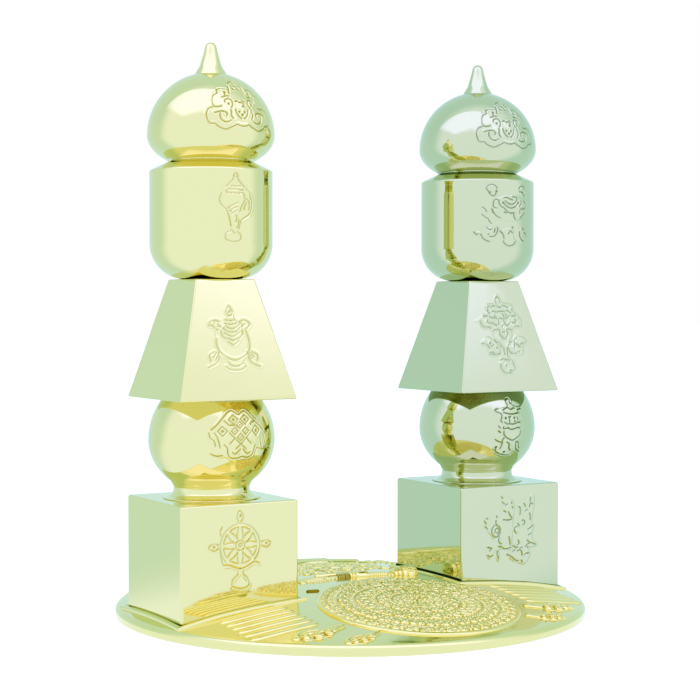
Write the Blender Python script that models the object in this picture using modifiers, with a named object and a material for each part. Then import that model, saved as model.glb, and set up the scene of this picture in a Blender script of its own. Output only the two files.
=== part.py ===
"""Twin stupa ornament: a gold-plated and a nickel-plated five-element stupa on one domed base.

Metres, +Z up. The origin is the middle of the base's underside. X runs from the gold stupa to
the nickel one, and the round medallion lies on the -Y side of the base.
"""
import math

import bmesh
import bpy
from mathutils import Matrix, Quaternion, Vector

MM = 0.001

# base: a low dome with an upright rim
BASE_RADIUS = 67.1 * MM
RIM_HEIGHT = 2.8 * MM
RIM_ROUND = 0.7 * MM
FOOT_EDGE = 0.4 * MM
DOME_RISE = 6.5 * MM
DOME_SPHERE = (BASE_RADIUS ** 2 + DOME_RISE ** 2) / (2 * DOME_RISE)
DOME_RINGS = 7
BASE_SIDES = 72

# square seats that frame the two cubes
TOWER_OFFSET = 44.2 * MM
SEAT_WIDTH = 38.3 * MM
SEAT_RAISE = 0.9 * MM
SEAT_FLOOR = 3.9 * MM
SEAT_CLEARANCE = 0.3 * MM
SEAT_BLOCK_BOTTOM = 1.2 * MM
SEAT_CAP_BOTTOM = 1.5 * MM
CUTTER_HEIGHT = 12.0 * MM

# tiers of a stupa; heights are above the seat floor
GAP = 0.3 * MM
CUBE_WIDTH = 35.0 * MM
CUBE_HEIGHT = 31.1 * MM
CUBE_EDGE = 0.7 * MM
FOOT_RADIUS = 12.8 * MM
FOOT_LIP = 0.35 * MM
FOOT_FLARE = (1.9 * MM, 1.6 * MM)
FOOT_TOP = 33.8 * MM
NECK_RADIUS = 10.5 * MM
BALL_RADIUS = 17.3 * MM
BALL_CENTRE = 47.0 * MM
BALL_TOP = 57.9 * MM
BALL_RISE = 18.0 * MM
BALL_FALL = 14.9 * MM
FRUSTUM_BOTTOM = 58.3 * MM
FRUSTUM_TOP = 90.7 * MM
FRUSTUM_WIDE = 34.8 * MM
FRUSTUM_NARROW = 17.8 * MM
FRUSTUM_EDGE = 0.5 * MM
DRUM_BOTTOM = 91.2 * MM
DRUM_SHOULDER = 120.3 * MM
DRUM_TOP = 122.4 * MM
DRUM_RADIUS = 16.75 * MM
DRUM_EDGE = 0.3 * MM
DRUM_FLAT = 6.5 * MM
DRUM_ROUND = 9.3 * MM
DRUM_CROWN = 11.4 * MM
COLLAR_RADIUS = 10.8 * MM
DOME_BOTTOM = 123.6 * MM
DOME_WAIST = 130.0 * MM
DOME_RADIUS = 17.35 * MM
DOME_FLAT = 12.3 * MM
DOME_FALL = 9.4 * MM
DOME_HEIGHT = 17.15 * MM
DOME_SEAT = 0.4 * MM
FINIAL_BOTTOM = 147.2 * MM
FINIAL_RADIUS = 3.7 * MM
FINIAL_TOP = 155.1 * MM
FINIAL_TIP = 1.5 * MM
FINIAL_WAIST = (2.45 * MM, 4.8 * MM)
FINIAL_FLARE = (3.0 * MM, 6.6 * MM)
TURNED_SIDES = 36
FINIAL_SIDES = 24

# reliefs on the base
MEDALLION_PLACE = (0.0, -36.0 * MM)
MEDALLION_SIDES = 40
MEDALLION_EDGE = 0.3 * MM
MEDALLION_RINGS = [
    # name, outer radius, inner radius, height
    ("medallion_boss", 6.0 * MM, 0.0, 1.3 * MM),
    ("medallion_ring_inner", 11.4 * MM, 6.3 * MM, 1.0 * MM),
    ("medallion_ring_middle", 17.0 * MM, 11.7 * MM, 1.2 * MM),
    ("medallion_ring_outer", 22.6 * MM, 17.3 * MM, 1.0 * MM),
    ("medallion_rim", 27.6 * MM, 22.9 * MM, 1.3 * MM),
]
RELIEF_GAP = 0.3 * MM
RELIEF_LIFT = 0.05 * MM
RIB_LEFT = 32.2 * MM
RIB_RIGHT = 52.6 * MM
RIB_FIRST = 22.7 * MM
RIB_PITCH = 3.4 * MM
RIB_COUNT = 6
RIB_WIDTH = 2.2 * MM
RIB_HEIGHT = 0.9 * MM
RIB_WEB = 0.45 * MM
CLOUDS = [
    # name, place, length, width
    ("cloud_outer", (36.0 * MM, 45.8 * MM), 15.5 * MM, 7.5 * MM),
    ("cloud_inner", (28.9 * MM, 55.0 * MM), 12.0 * MM, 6.5 * MM),
]
CLOUD_HEIGHT = 1.0 * MM
CLOUD_POINTS = 20
CLOUD_LOBE = 0.36
CLOUD_WAVE = 0.06
CLOUD_TAIL = 0.34
CLOUD_TAIL_POWER = 6
CLOUD_TOP = (0.86, 0.78)
SCEPTRE_LINE = -1.2 * MM
SCEPTRE_SIDES = 20
SCEPTRE_PIECES = [
    # name, start, end, radius, height
    ("sceptre_prongs", -18.0 * MM, -4.2 * MM, 2.6 * MM, 1.7 * MM),
    ("sceptre_grip", -3.8 * MM, 6.4 * MM, 1.5 * MM, 1.5 * MM),
    ("sceptre_neck", 6.8 * MM, 11.6 * MM, 1.3 * MM, 1.3 * MM),
    ("sceptre_head", 12.0 * MM, 22.0 * MM, 3.0 * MM, 2.4 * MM),
]

for old in list(bpy.data.objects):
    bpy.data.objects.remove(old, do_unlink=True)

scene = bpy.context.scene
parts = bpy.data.collections.new("twin_stupa_ornament")
cutters = bpy.data.collections.new("cutters")
scene.collection.children.link(parts)
scene.collection.children.link(cutters)


def material(name, colour, roughness):
    """A plated metal of one colour."""
    mat = bpy.data.materials.new(name)
    mat.use_nodes = True
    shader = mat.node_tree.nodes["Principled BSDF"]
    shader.inputs["Base Color"].default_value = (*colour, 1.0)
    shader.inputs["Metallic"].default_value = 1.0
    shader.inputs["Roughness"].default_value = roughness
    return mat


GOLD = material("polished_gold_plate", (0.84, 0.73, 0.36), 0.12)
NICKEL = material("polished_nickel_plate", (0.62, 0.68, 0.58), 0.1)
RELIEF = material("cast_gold_relief", (0.8, 0.68, 0.3), 0.25)


def add(name, mesh, mat, collection=parts):
    """Put a mesh in the scene as one named piece."""
    piece = bpy.data.objects.new(name, mesh)
    mesh.materials.append(mat)
    collection.objects.link(piece)
    if collection is cutters:
        piece.hide_render = True
        piece.display_type = "WIRE"
    return piece


def turned(name, profile, mat, sides=TURNED_SIDES, collection=parts):
    """A turned piece: profile is (radius, height) pairs down its outer side, axis to axis."""
    mesh = bpy.data.meshes.new(name)
    edges = [(i, i + 1) for i in range(len(profile) - 1)]
    mesh.from_pydata([(r, 0.0, z) for r, z in profile], edges, [])
    piece = add(name, mesh, mat, collection)
    screw = piece.modifiers.new("turn", "SCREW")
    screw.steps = sides
    screw.render_steps = sides
    screw.use_merge_vertices = True
    screw.merge_threshold = 0.00001
    screw.use_smooth_shade = True
    return piece


def block(name, size, place, mat, edge=0.0, collection=parts):
    """A box with softened edges, given by its size and the middle of its underside."""
    mesh = bpy.data.meshes.new(name)
    bm = bmesh.new()
    bmesh.ops.create_cube(bm, size=1.0)
    bmesh.ops.scale(bm, vec=size, verts=bm.verts)
    bmesh.ops.translate(bm, vec=(0.0, 0.0, size[2] / 2), verts=bm.verts)
    bm.to_mesh(mesh)
    bm.free()
    piece = add(name, mesh, mat, collection)
    piece.location = place
    if edge:
        soften(piece, edge)
    return piece


def soften(piece, edge, segments=2):
    """Round a piece's edges."""
    bevel = piece.modifiers.new("edges", "BEVEL")
    bevel.width = edge
    bevel.segments = segments


def arc(centre, radii, start, end, count):
    """Points of an elliptical arc, angles in degrees, measured up from the horizontal."""
    steps = [math.radians(start + (end - start) * i / (count - 1)) for i in range(count)]
    return [(centre[0] + radii[0] * math.cos(t), centre[1] + radii[1] * math.sin(t)) for t in steps]


def boolean(piece, cutter, operation):
    """Cut or join a piece with a cutter."""
    cut = piece.modifiers.new(cutter.name, "BOOLEAN")
    cut.operation = operation
    cut.solver = "EXACT"
    cut.object = cutter


def dome_height(radius, raise_by=0.0):
    """Height of the base's domed top, or of a sphere round the same centre."""
    sphere = DOME_SPHERE + raise_by
    return RIM_HEIGHT + DOME_RISE - DOME_SPHERE + math.sqrt(sphere ** 2 - radius ** 2)


def on_dome(x, y, lift=0.0):
    """Matrix of a place on the domed top, with its Z square to the surface."""
    radius = math.hypot(x, y)
    tilt = math.asin(radius / DOME_SPHERE)
    axis = Vector((-y, x, 0.0)) if radius else Vector((1.0, 0.0, 0.0))
    turn = Quaternion(axis.normalized(), tilt)
    normal = turn @ Vector((0.0, 0.0, 1.0))
    centre = Vector((0.0, 0.0, RIM_HEIGHT + DOME_RISE - DOME_SPHERE))
    return Matrix.Translation(centre + normal * (DOME_SPHERE + lift)) @ turn.to_matrix().to_4x4()


def domed_profile(outer, inner, low, high, edge):
    """Profile of a disc or ring that follows the dome, in the frame of its own middle."""
    def height(radius, lift):
        return math.sqrt((DOME_SPHERE + lift) ** 2 - radius ** 2) - DOME_SPHERE

    middle = (inner + outer) / 2
    top = [(middle, high), (outer - edge, high), (outer, high - edge)]
    bottom = [(outer, low), (middle, low), (inner, low)]
    if inner:
        top = [(inner, high - edge), (inner + edge, high)] + top
        bottom.append(top[0])
    else:
        top = [(inner, high)] + top
    return [(radius, height(radius, lift)) for radius, lift in top + bottom]


def base():
    """The round base: an upright rim, a low dome and two raised square seats."""
    profile = [(0.0, dome_height(0.0))]
    inside = BASE_RADIUS - RIM_ROUND
    for ring in range(1, DOME_RINGS + 1):
        radius = inside * ring / DOME_RINGS
        profile.append((radius, dome_height(radius)))
    rim_top = dome_height(inside)
    profile += arc((inside, rim_top - RIM_ROUND), (RIM_ROUND, RIM_ROUND), 60, 0, 3)
    profile += [(BASE_RADIUS, FOOT_EDGE), (BASE_RADIUS - FOOT_EDGE, 0.0), (0.0, 0.0)]
    piece = turned("base", profile, GOLD, BASE_SIDES)
    seat_sphere = [(0.0, dome_height(0.0, SEAT_RAISE))]
    for ring in range(1, DOME_RINGS + 1):
        radius = BASE_RADIUS * ring / DOME_RINGS
        seat_sphere.append((radius, dome_height(radius, SEAT_RAISE)))
    seat_sphere += [(BASE_RADIUS, SEAT_CAP_BOTTOM), (0.0, SEAT_CAP_BOTTOM)]
    for side, name in ((-1, "gold"), (1, "nickel")):
        place = (side * TOWER_OFFSET, 0.0, SEAT_BLOCK_BOTTOM)
        seat = block(name + "_seat", (SEAT_WIDTH, SEAT_WIDTH, CUTTER_HEIGHT), place, GOLD, 0.0, cutters)
        cap = turned(name + "_seat_cap", seat_sphere, GOLD, BASE_SIDES, cutters)
        boolean(seat, cap, "INTERSECT")
        boolean(piece, seat, "UNION")
    pocket = CUBE_WIDTH + 2 * SEAT_CLEARANCE
    for side, name in ((-1, "gold"), (1, "nickel")):
        place = (side * TOWER_OFFSET, 0.0, SEAT_FLOOR - GAP)
        well = block(name + "_well", (pocket, pocket, CUTTER_HEIGHT), place, GOLD, 0.0, cutters)
        boolean(piece, well, "DIFFERENCE")


def stupa(name, side, mat):
    """One stupa: cube, ball on its foot, frustum, drum, dome and finial."""
    stand = bpy.data.objects.new(name + "_stupa", None)
    stand.location = (side * TOWER_OFFSET, 0.0, SEAT_FLOOR)
    parts.objects.link(stand)

    def tier(piece):
        piece.parent = stand
        return piece

    size = (CUBE_WIDTH, CUBE_WIDTH, CUBE_HEIGHT)
    tier(block(name + "_cube", size, (0.0, 0.0, 0.0), mat, CUBE_EDGE))

    low = CUBE_HEIGHT + GAP
    flare = (NECK_RADIUS + FOOT_FLARE[0], low + FOOT_LIP + FOOT_FLARE[1])
    foot = [(0.0, FOOT_TOP), (NECK_RADIUS, FOOT_TOP)]
    foot += arc(flare, FOOT_FLARE, 180, 270, 4)
    foot += [(FOOT_RADIUS, low + FOOT_LIP), (FOOT_RADIUS, low), (0.0, low)]
    tier(turned(name + "_ball_foot", foot, mat))

    rise = BALL_TOP - BALL_CENTRE
    top_angle = math.degrees(math.asin(rise / BALL_RISE))
    low_angle = -math.degrees(math.acos(NECK_RADIUS / BALL_RADIUS))
    ball = [(0.0, BALL_TOP)]
    ball += arc((0.0, BALL_CENTRE), (BALL_RADIUS, BALL_RISE), top_angle, 0, 5)
    ball += arc((0.0, BALL_CENTRE), (BALL_RADIUS, BALL_FALL), 0, low_angle, 6)[1:]
    ball += [(NECK_RADIUS, FOOT_TOP + GAP), (0.0, FOOT_TOP + GAP)]
    tier(turned(name + "_ball", ball, mat))

    tier(frustum(name + "_frustum", mat))

    drum = [(0.0, DRUM_TOP), (DRUM_CROWN, DRUM_TOP)]
    drum += [(DRUM_RADIUS - DRUM_EDGE, DRUM_SHOULDER), (DRUM_RADIUS, DRUM_SHOULDER - DRUM_EDGE)]
    corner = (DRUM_FLAT, DRUM_BOTTOM + DRUM_ROUND)
    drum += arc(corner, (DRUM_RADIUS - DRUM_FLAT, DRUM_ROUND), 0, -90, 6)
    drum += [(0.0, DRUM_BOTTOM)]
    tier(turned(name + "_drum", drum, mat))

    collar = [(0.0, DOME_BOTTOM - GAP), (COLLAR_RADIUS, DOME_BOTTOM - GAP)]
    collar += [(COLLAR_RADIUS, DRUM_TOP + GAP), (0.0, DRUM_TOP + GAP)]
    tier(turned(name + "_drum_collar", collar, mat))

    dome_top = DOME_WAIST + DOME_HEIGHT
    cap_angle = math.degrees(math.acos(FINIAL_RADIUS / DOME_RADIUS))
    cap = arc((0.0, DOME_WAIST), (DOME_RADIUS, DOME_HEIGHT), cap_angle, 0, 7)
    bottom_angle = -math.degrees(math.acos(DOME_FLAT / DOME_RADIUS))
    cap += arc((0.0, DOME_WAIST), (DOME_RADIUS, DOME_FALL), 0, bottom_angle, 4)[1:]
    cap = [(0.0, dome_top - DOME_SEAT)] + cap + [(DOME_FLAT, DOME_BOTTOM), (0.0, DOME_BOTTOM)]
    tier(turned(name + "_dome", cap, mat))

    tip = FINIAL_TOP - FINIAL_TIP
    finial = [(0.0, FINIAL_TOP)] + arc((0.0, tip), (FINIAL_TIP, FINIAL_TIP), 60, 10, 3)
    finial += [(radius, FINIAL_TOP - depth) for radius, depth in (FINIAL_WAIST, FINIAL_FLARE)]
    finial += [(FINIAL_RADIUS, FINIAL_BOTTOM), (0.0, FINIAL_BOTTOM)]
    tier(turned(name + "_finial", finial, mat, FINIAL_SIDES))


def frustum(name, mat):
    """The four-sided tier between ball and drum."""
    mesh = bpy.data.meshes.new(name)
    bm = bmesh.new()
    wide = FRUSTUM_WIDE / math.sqrt(2)
    narrow = FRUSTUM_NARROW / math.sqrt(2)
    depth = FRUSTUM_TOP - FRUSTUM_BOTTOM
    bmesh.ops.create_cone(bm, cap_ends=True, segments=4, radius1=wide, radius2=narrow, depth=depth)
    bmesh.ops.rotate(bm, matrix=Matrix.Rotation(math.radians(45), 3, "Z"), verts=bm.verts)
    bmesh.ops.translate(bm, vec=(0.0, 0.0, FRUSTUM_BOTTOM + depth / 2), verts=bm.verts)
    bm.to_mesh(mesh)
    bm.free()
    piece = add(name, mesh, mat)
    soften(piece, FRUSTUM_EDGE)
    return piece


def medallion():
    """Concentric raised rings round a boss, tilted with the dome that they lie on."""
    for name, outer, inner, height in MEDALLION_RINGS:
        profile = domed_profile(outer, inner, RELIEF_GAP, height, MEDALLION_EDGE)
        piece = turned(name, profile, RELIEF, MEDALLION_SIDES)
        piece.matrix_world = on_dome(*MEDALLION_PLACE)


def rib_panel(name, side, end):
    """Straight raised ribs beside a seat, on a thin web that follows the dome."""
    heights = [RIB_WEB]
    across = [RIB_FIRST - RIB_PITCH / 2]
    for rib in range(RIB_COUNT):
        middle = RIB_FIRST + rib * RIB_PITCH
        across += [middle + RIB_WIDTH * share for share in (-0.5, -0.25, 0.25, 0.5)]
        heights += [RIB_WEB, RIB_HEIGHT, RIB_HEIGHT, RIB_WEB]
    across.append(RIB_FIRST + (RIB_COUNT - 0.5) * RIB_PITCH)
    heights.append(RIB_WEB)
    along = [RIB_LEFT + (RIB_RIGHT - RIB_LEFT) * i / 3 for i in range(4)]
    bm = bmesh.new()
    top = []
    bottom = []
    for x in along:
        for layer, lifts in ((top, heights), (bottom, [0.0] * len(heights))):
            row = []
            for y, lift in zip(across, lifts):
                z = dome_height(math.hypot(x, y), RELIEF_GAP + lift)
                row.append(bm.verts.new((side * x, end * y, z)))
            layer.append(row)
    last = len(across) - 1
    for i in range(len(along) - 1):
        for j in range(last):
            bm.faces.new((top[i][j], top[i + 1][j], top[i + 1][j + 1], top[i][j + 1]))
            bm.faces.new((bottom[i][j], bottom[i][j + 1], bottom[i + 1][j + 1], bottom[i + 1][j]))
        for j in (0, last):
            bm.faces.new((top[i][j], bottom[i][j], bottom[i + 1][j], top[i + 1][j]))
    for i in (0, len(along) - 1):
        for j in range(last):
            bm.faces.new((top[i][j], top[i][j + 1], bottom[i][j + 1], bottom[i][j]))
    bmesh.ops.recalc_face_normals(bm, faces=bm.faces)
    mesh = bpy.data.meshes.new(name)
    bm.to_mesh(mesh)
    bm.free()
    add(name, mesh, RELIEF)


def cloud(name, place, side, end, length, width):
    """A low cloud scroll as one rounded outline, its tail pointing to the middle of the base."""
    points = []
    for step in range(CLOUD_POINTS):
        angle = math.tau * step / CLOUD_POINTS
        lobe = CLOUD_LOBE + CLOUD_WAVE * math.cos(5 * angle) * (math.sin(angle) > 0)
        tail = CLOUD_TAIL * max(0.0, math.cos(angle)) ** CLOUD_TAIL_POWER
        x = length * (lobe + tail) * math.cos(angle)
        y = width / (2 * CLOUD_LOBE) * lobe * math.sin(angle)
        points.append((-side * x, -end * y))
    bm = bmesh.new()
    base_ring = [bm.verts.new((x, y, RELIEF_GAP + RELIEF_LIFT)) for x, y in points]
    top_ring = [bm.verts.new((x * CLOUD_TOP[0], y * CLOUD_TOP[1], CLOUD_HEIGHT)) for x, y in points]
    bm.faces.new(base_ring)
    bm.faces.new(top_ring)
    for i in range(len(points)):
        k = (i + 1) % len(points)
        bm.faces.new((base_ring[i], base_ring[k], top_ring[k], top_ring[i]))
    bmesh.ops.recalc_face_normals(bm, faces=bm.faces)
    mesh = bpy.data.meshes.new(name)
    bm.to_mesh(mesh)
    bm.free()
    piece = add(name, mesh, RELIEF)
    piece.matrix_world = on_dome(side * place[0], end * place[1])


def sceptre():
    """The ritual sceptre that lies in relief between the two seats."""
    for name, start, end, radius, height in SCEPTRE_PIECES:
        mesh = bpy.data.meshes.new(name)
        bm = bmesh.new()
        turn = Matrix.Rotation(math.pi / 2, 4, "Y")
        length = end - start
        bmesh.ops.create_cone(
            bm, cap_ends=True, segments=SCEPTRE_SIDES, radius1=radius, radius2=radius, depth=length, matrix=turn
        )
        everything = bm.verts[:] + bm.edges[:] + bm.faces[:]
        bmesh.ops.bisect_plane(
            bm, geom=everything, plane_co=(0, 0, 0), plane_no=(0, 0, -1), clear_outer=True
        )
        bmesh.ops.holes_fill(bm, edges=bm.edges)
        bmesh.ops.scale(bm, vec=(1.0, 1.0, height / radius), verts=bm.verts)
        bmesh.ops.recalc_face_normals(bm, faces=bm.faces)
        bm.to_mesh(mesh)
        bm.free()
        piece = add(name, mesh, RELIEF)
        piece.matrix_world = on_dome((start + end) / 2, SCEPTRE_LINE, RELIEF_GAP + RELIEF_LIFT)


base()
stupa("gold", -1, GOLD)
stupa("nickel", 1, NICKEL)
medallion()
for side, metal in ((-1, "gold"), (1, "nickel")):
    for end, where in ((-1, "front"), (1, "back")):
        rib_panel(where + "_ribs_" + metal + "_side", side, end)
        for kind, place, length, width in CLOUDS:
            cloud("_".join((where, kind, metal, "side")), place, side, end, length, width)
sceptre()
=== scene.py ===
"""Looks of the twin stupa ornament: mirror-polished gold and nickel plate with fine carving.

Shapes are worked out in millimetres in the frame's own axes and scaled once, where a mesh is made.
"""

import math

import bmesh
import bpy
import numpy as np
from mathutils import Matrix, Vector


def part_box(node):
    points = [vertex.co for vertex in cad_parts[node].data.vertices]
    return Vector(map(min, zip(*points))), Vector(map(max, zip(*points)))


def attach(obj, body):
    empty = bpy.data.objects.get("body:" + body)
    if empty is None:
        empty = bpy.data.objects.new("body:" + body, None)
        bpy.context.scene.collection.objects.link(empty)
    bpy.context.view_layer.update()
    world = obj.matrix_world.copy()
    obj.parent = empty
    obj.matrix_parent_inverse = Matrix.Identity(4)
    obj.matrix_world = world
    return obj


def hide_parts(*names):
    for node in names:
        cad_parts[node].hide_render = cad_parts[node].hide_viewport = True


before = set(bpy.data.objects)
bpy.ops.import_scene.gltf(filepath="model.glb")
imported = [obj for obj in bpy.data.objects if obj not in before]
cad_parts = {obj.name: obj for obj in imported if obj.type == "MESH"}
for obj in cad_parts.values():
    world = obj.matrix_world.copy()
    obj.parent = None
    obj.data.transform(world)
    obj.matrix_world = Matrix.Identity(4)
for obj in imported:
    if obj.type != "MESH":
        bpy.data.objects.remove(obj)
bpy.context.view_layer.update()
scene = bpy.context.scene
MM = 0.001

# base, as in the frame
RIM_HEIGHT = 2.8
DOME_RISE = 6.5
SEAT_WIDTH = 38.3
SEAT_LIFTS = ((25, 35, 45, 54, 60, 66), (0.4, 0.55, 0.85, 1.0, 0.85, 0.65))
WELL_FLOOR = 3.6
WELL_GAP = 0.12
# per metal: the seat frame's inner bevel, and how much painted shade that bevel takes
BEVELS_AND_SHADES = {"gold": (0.35, 0.4), "nickel": (0.7, 1.0)}
# height of the strip of painted shadow on each side of the cube's foot
SHADOW_STRIP_LIPS = (0.0, 0.0, 0.0, 0.45)
RIM_ROUND = 1.7

# carving: grid and tool sizes
FINE = 0.15
COARSE = 1.3
GROOVE_DEPTH = 0.22
GROOVE_WIDTH = 0.19
LIP_HEIGHT = 0.07
LIP_PLACE = 0.45
LIP_WIDTH = 0.18
PAD_HEIGHT = 0.14
PAD_SHOULDER = 0.3
# width of the painted shade beside carved lines and dots, and its strength round the pads' edges
PAINTED_SHADE_WIDTH = 0.16
PAINTED_SHADE_AT_PAD = 0.06
# painted shade under the frustum, drum and dome: how far their underside ring takes the darker tone
PAINTED_UNDERSIDE_SHADE = {"gold": 0.15, "nickel": 0.7}

# relief on the base
DISH_FLOOR = 0.3


def box_mm(node):
    """Lowest and highest corner of a CAD node, in millimetres."""
    low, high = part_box(node)
    return np.array(low) / MM, np.array(high) / MM


BASE_RADIUS = box_mm("base")[1][0]
DOME_SPHERE = (BASE_RADIUS ** 2 + DOME_RISE ** 2) / (2 * DOME_RISE)
MEDALLION = (box_mm("medallion_rim")[0] + box_mm("medallion_rim")[1]) / 2
MEDALLION_RADIUS = box_mm("medallion_rim")[1][0]


# finishes


def colour(hex_code, scale=1.0):
    """Linear colour of an sRGB hex code."""
    values = [int(hex_code[i:i + 2], 16) / 255 for i in (1, 3, 5)]
    linear = [v / 12.92 if v <= 0.04045 else ((v + 0.055) / 1.055) ** 2.4 for v in values]
    return (*[v * scale for v in linear], 1.0)


def add_node(tree, kind, inputs=None, **settings):
    """Add a node with its settings, and give its inputs their values or links."""
    made = tree.nodes.new(kind)
    for key, value in settings.items():
        setattr(made, key, value)
    for key, value in (inputs or {}).items():
        if isinstance(value, bpy.types.NodeSocket):
            tree.links.new(value, made.inputs[key])
        else:
            made.inputs[key].default_value = value
    return made


def plated_metal(name, tone, painted_shade_tone, roughness, wave_size, wave_strength):
    """Polished plating on a cast core: a mirror with the slight waviness that buffing leaves.

    wave_size is the distance in millimetres between the soft swells that bend reflections. The attribute
    called cut says where carved lines and other places in shade lie: there the colour is mixed toward a darker tone as
    painted shade, and the roughness is raised.
    """
    metal = bpy.data.materials.new(name)
    metal.use_nodes = True
    tree = metal.node_tree
    shader = tree.nodes["Principled BSDF"]
    shader.inputs["Metallic"].default_value = 1.0
    cut = add_node(tree, "ShaderNodeAttribute", attribute_name="cut").outputs["Fac"]
    # painted shade: the plating's colour is mixed toward the darker tone by the cut attribute
    plating = add_node(tree, "ShaderNodeMix", {"Factor": cut, 6: colour(tone), 7: colour(painted_shade_tone)}, data_type="RGBA")
    tree.links.new(plating.outputs[2], shader.inputs["Base Color"])
    place = add_node(tree, "ShaderNodeTexCoord").outputs["Object"]
    swells = add_node(tree, "ShaderNodeTexNoise", {"Vector": place, "Scale": 1 / (wave_size * MM), "Detail": 1.0})
    haze = add_node(tree, "ShaderNodeTexNoise", {"Vector": place, "Scale": 1 / (3.5 * MM), "Detail": 3.0})
    rough = add_node(tree, "ShaderNodeMapRange", {
        "Value": haze.outputs["Fac"], "From Min": 0.3, "From Max": 0.7,
        "To Min": roughness * 0.7, "To Max": roughness * 1.3,
    })
    dull = add_node(tree, "ShaderNodeMath", {0: cut, 1: 0.3, 2: rough.outputs["Result"]}, operation="MULTIPLY_ADD")
    bump = add_node(tree, "ShaderNodeBump", {
        "Height": swells.outputs["Fac"], "Strength": wave_strength, "Distance": 0.05 * MM,
    })
    tree.links.new(dull.outputs[0], shader.inputs["Roughness"])
    tree.links.new(bump.outputs["Normal"], shader.inputs["Normal"])
    return metal


# each finish's second tone is its painted shade, mixed in where the cut attribute is set
GOLD = plated_metal("mirror_gold_plate", "#F0E3A8", "#AC9A3C", 0.05, 7.0, 0.25)
NICKEL = plated_metal("mirror_nickel_plate", "#D6D5B0", "#5E6648", 0.05, 7.0, 0.25)
SATIN = plated_metal("satin_gold_plate", "#F0E3A2", "#B4A044", 0.13, 5.0, 0.5)
RELIEF = plated_metal("cast_gold_plate", "#FAE6A0", "#9C7A1C", 0.11, 1.2, 0.5)
# a near-black finish for the strip of painted shadow at the nickel cube's foot
SHADOW_STRIP = plated_metal("painted_shadow_strip", "#2A2410", "#1E1A0C", 0.45, 1.2, 0.5)


# meshes


def finish_piece(name, mesh, metal, slot, *nodes):
    """Give a finished mesh its metal, put it on the object's body and hide the nodes that it stands for."""
    piece = bpy.data.objects.new(name, mesh)
    scene.collection.objects.link(piece)
    mesh.materials.clear()
    mesh.materials.append(metal)
    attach(piece, "root")
    if nodes:
        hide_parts(*nodes)
    return piece


def mesh_of(name, corners, faces, sharp=50, cut=None):
    """A smooth-shaded mesh from places in millimetres, with edges past the sharp angle left crisp."""
    mesh = bpy.data.meshes.new(name)
    mesh.from_pydata((np.asarray(corners) * MM).tolist(), [], faces)
    mesh.shade_smooth()
    mesh.set_sharp_from_angle(angle=math.radians(sharp))
    # the cut attribute carries painted shade, a darker tone, and duller roughness into the plated finishes
    if cut is not None:
        mesh.attributes.new("cut", "FLOAT", "POINT").data.foreach_set("value", cut.ravel())
    return mesh


def skin(rows, closed=True):
    """Faces over rings of points, with flat caps on the first and last ring unless they are one ring."""
    count, across = rows.shape[:2]
    index = np.arange(count * across).reshape(count, across)
    right = np.roll(index, -1, axis=1)
    faces = np.stack([index[:-1], right[:-1], right[1:], index[1:]], -1).reshape(-1, 4).tolist()
    if closed:
        faces.append(index[0][::-1].tolist())
        faces.append(index[-1].tolist())
    return rows.reshape(-1, 3), faces


def ring_skin(rows):
    """Faces over rings of points where the last ring joins the first, as round a seat's frame."""
    count, across = rows.shape[:2]
    index = np.arange(count * across).reshape(count, across)
    right = np.roll(index, -1, axis=1)
    below = np.roll(index, -1, axis=0)
    below_right = np.roll(right, -1, axis=0)
    return rows.reshape(-1, 3), np.stack([index, right, below_right, below], -1).reshape(-1, 4).tolist()


def arc(centre, radii, start, end, step=0.05):
    """Close-set points of an elliptical arc, angles in degrees up from the horizontal."""
    count = max(3, int(max(radii) * abs(math.radians(end - start)) / step))
    turn = np.radians(np.linspace(start, end, count))
    return np.stack([centre[0] + radii[0] * np.cos(turn), centre[1] + radii[1] * np.sin(turn)], -1)


def straight(*points, step=0.1):
    """Close-set points along straight runs."""
    runs = []
    for a, b in zip(points[:-1], points[1:]):
        count = max(2, int(math.dist(a, b) / step))
        runs.append(np.linspace(a, b, count, endpoint=False))
    return np.concatenate(runs + [[points[-1]]])


def path(*runs):
    """One outline from runs of points, with doubled points dropped."""
    points = np.concatenate([np.asarray(run, float).reshape(-1, 2) for run in runs])
    keep = np.concatenate([[True], np.hypot(*np.diff(points, axis=0).T) > 1e-4])
    return points[keep]


def chosen_rows(outline, middle, reach):
    """Places along an outline: close-set within reach of its middle height, wider elsewhere, corners kept."""
    step = np.hypot(*np.diff(outline, axis=0).T)
    along = np.concatenate([[0.0], np.cumsum(step)])
    heading = np.arctan2(np.diff(outline[:, 1]), np.diff(outline[:, 0]))
    bend = np.abs(np.angle(np.exp(1j * np.diff(heading))))
    curve = np.concatenate([[0.0], bend, [0.0]])
    centre = along[np.argmin(np.abs(outline[:, 1] - middle))]
    picked = [0]
    for i in range(1, len(outline)):
        fine = abs(along[i] - centre) < reach
        turned = np.sum(curve[picked[-1] + 1:i + 1])
        gap = along[i] - along[picked[-1]]
        limit = FINE if fine else COARSE
        if gap >= limit * 0.98 or turned > math.radians(4) or curve[i] > math.radians(8) or i == len(outline) - 1:
            picked.append(i)
    tangent = np.gradient(outline, axis=0)
    tangent /= np.hypot(*tangent.T)[:, None]
    normal = np.stack([tangent[:, 1], -tangent[:, 0]], -1)
    return outline[picked], normal[picked], along[picked] - centre


def spread(low, high, fine_low, fine_high, fine, coarse):
    """Numbers from low to high, close-set between two of them."""
    parts = []
    for a, b, step in ((low, fine_low, coarse), (fine_low, fine_high, fine), (fine_high, high, coarse)):
        if b > a:
            parts.append(np.linspace(a, b, max(2, int(math.ceil((b - a) / step)) + 1))[:-1])
    return np.concatenate(parts + [[high]])


# carving: a motif is lines that are cut, dots that are punched, and pads that stand proud, in millimetres


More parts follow.
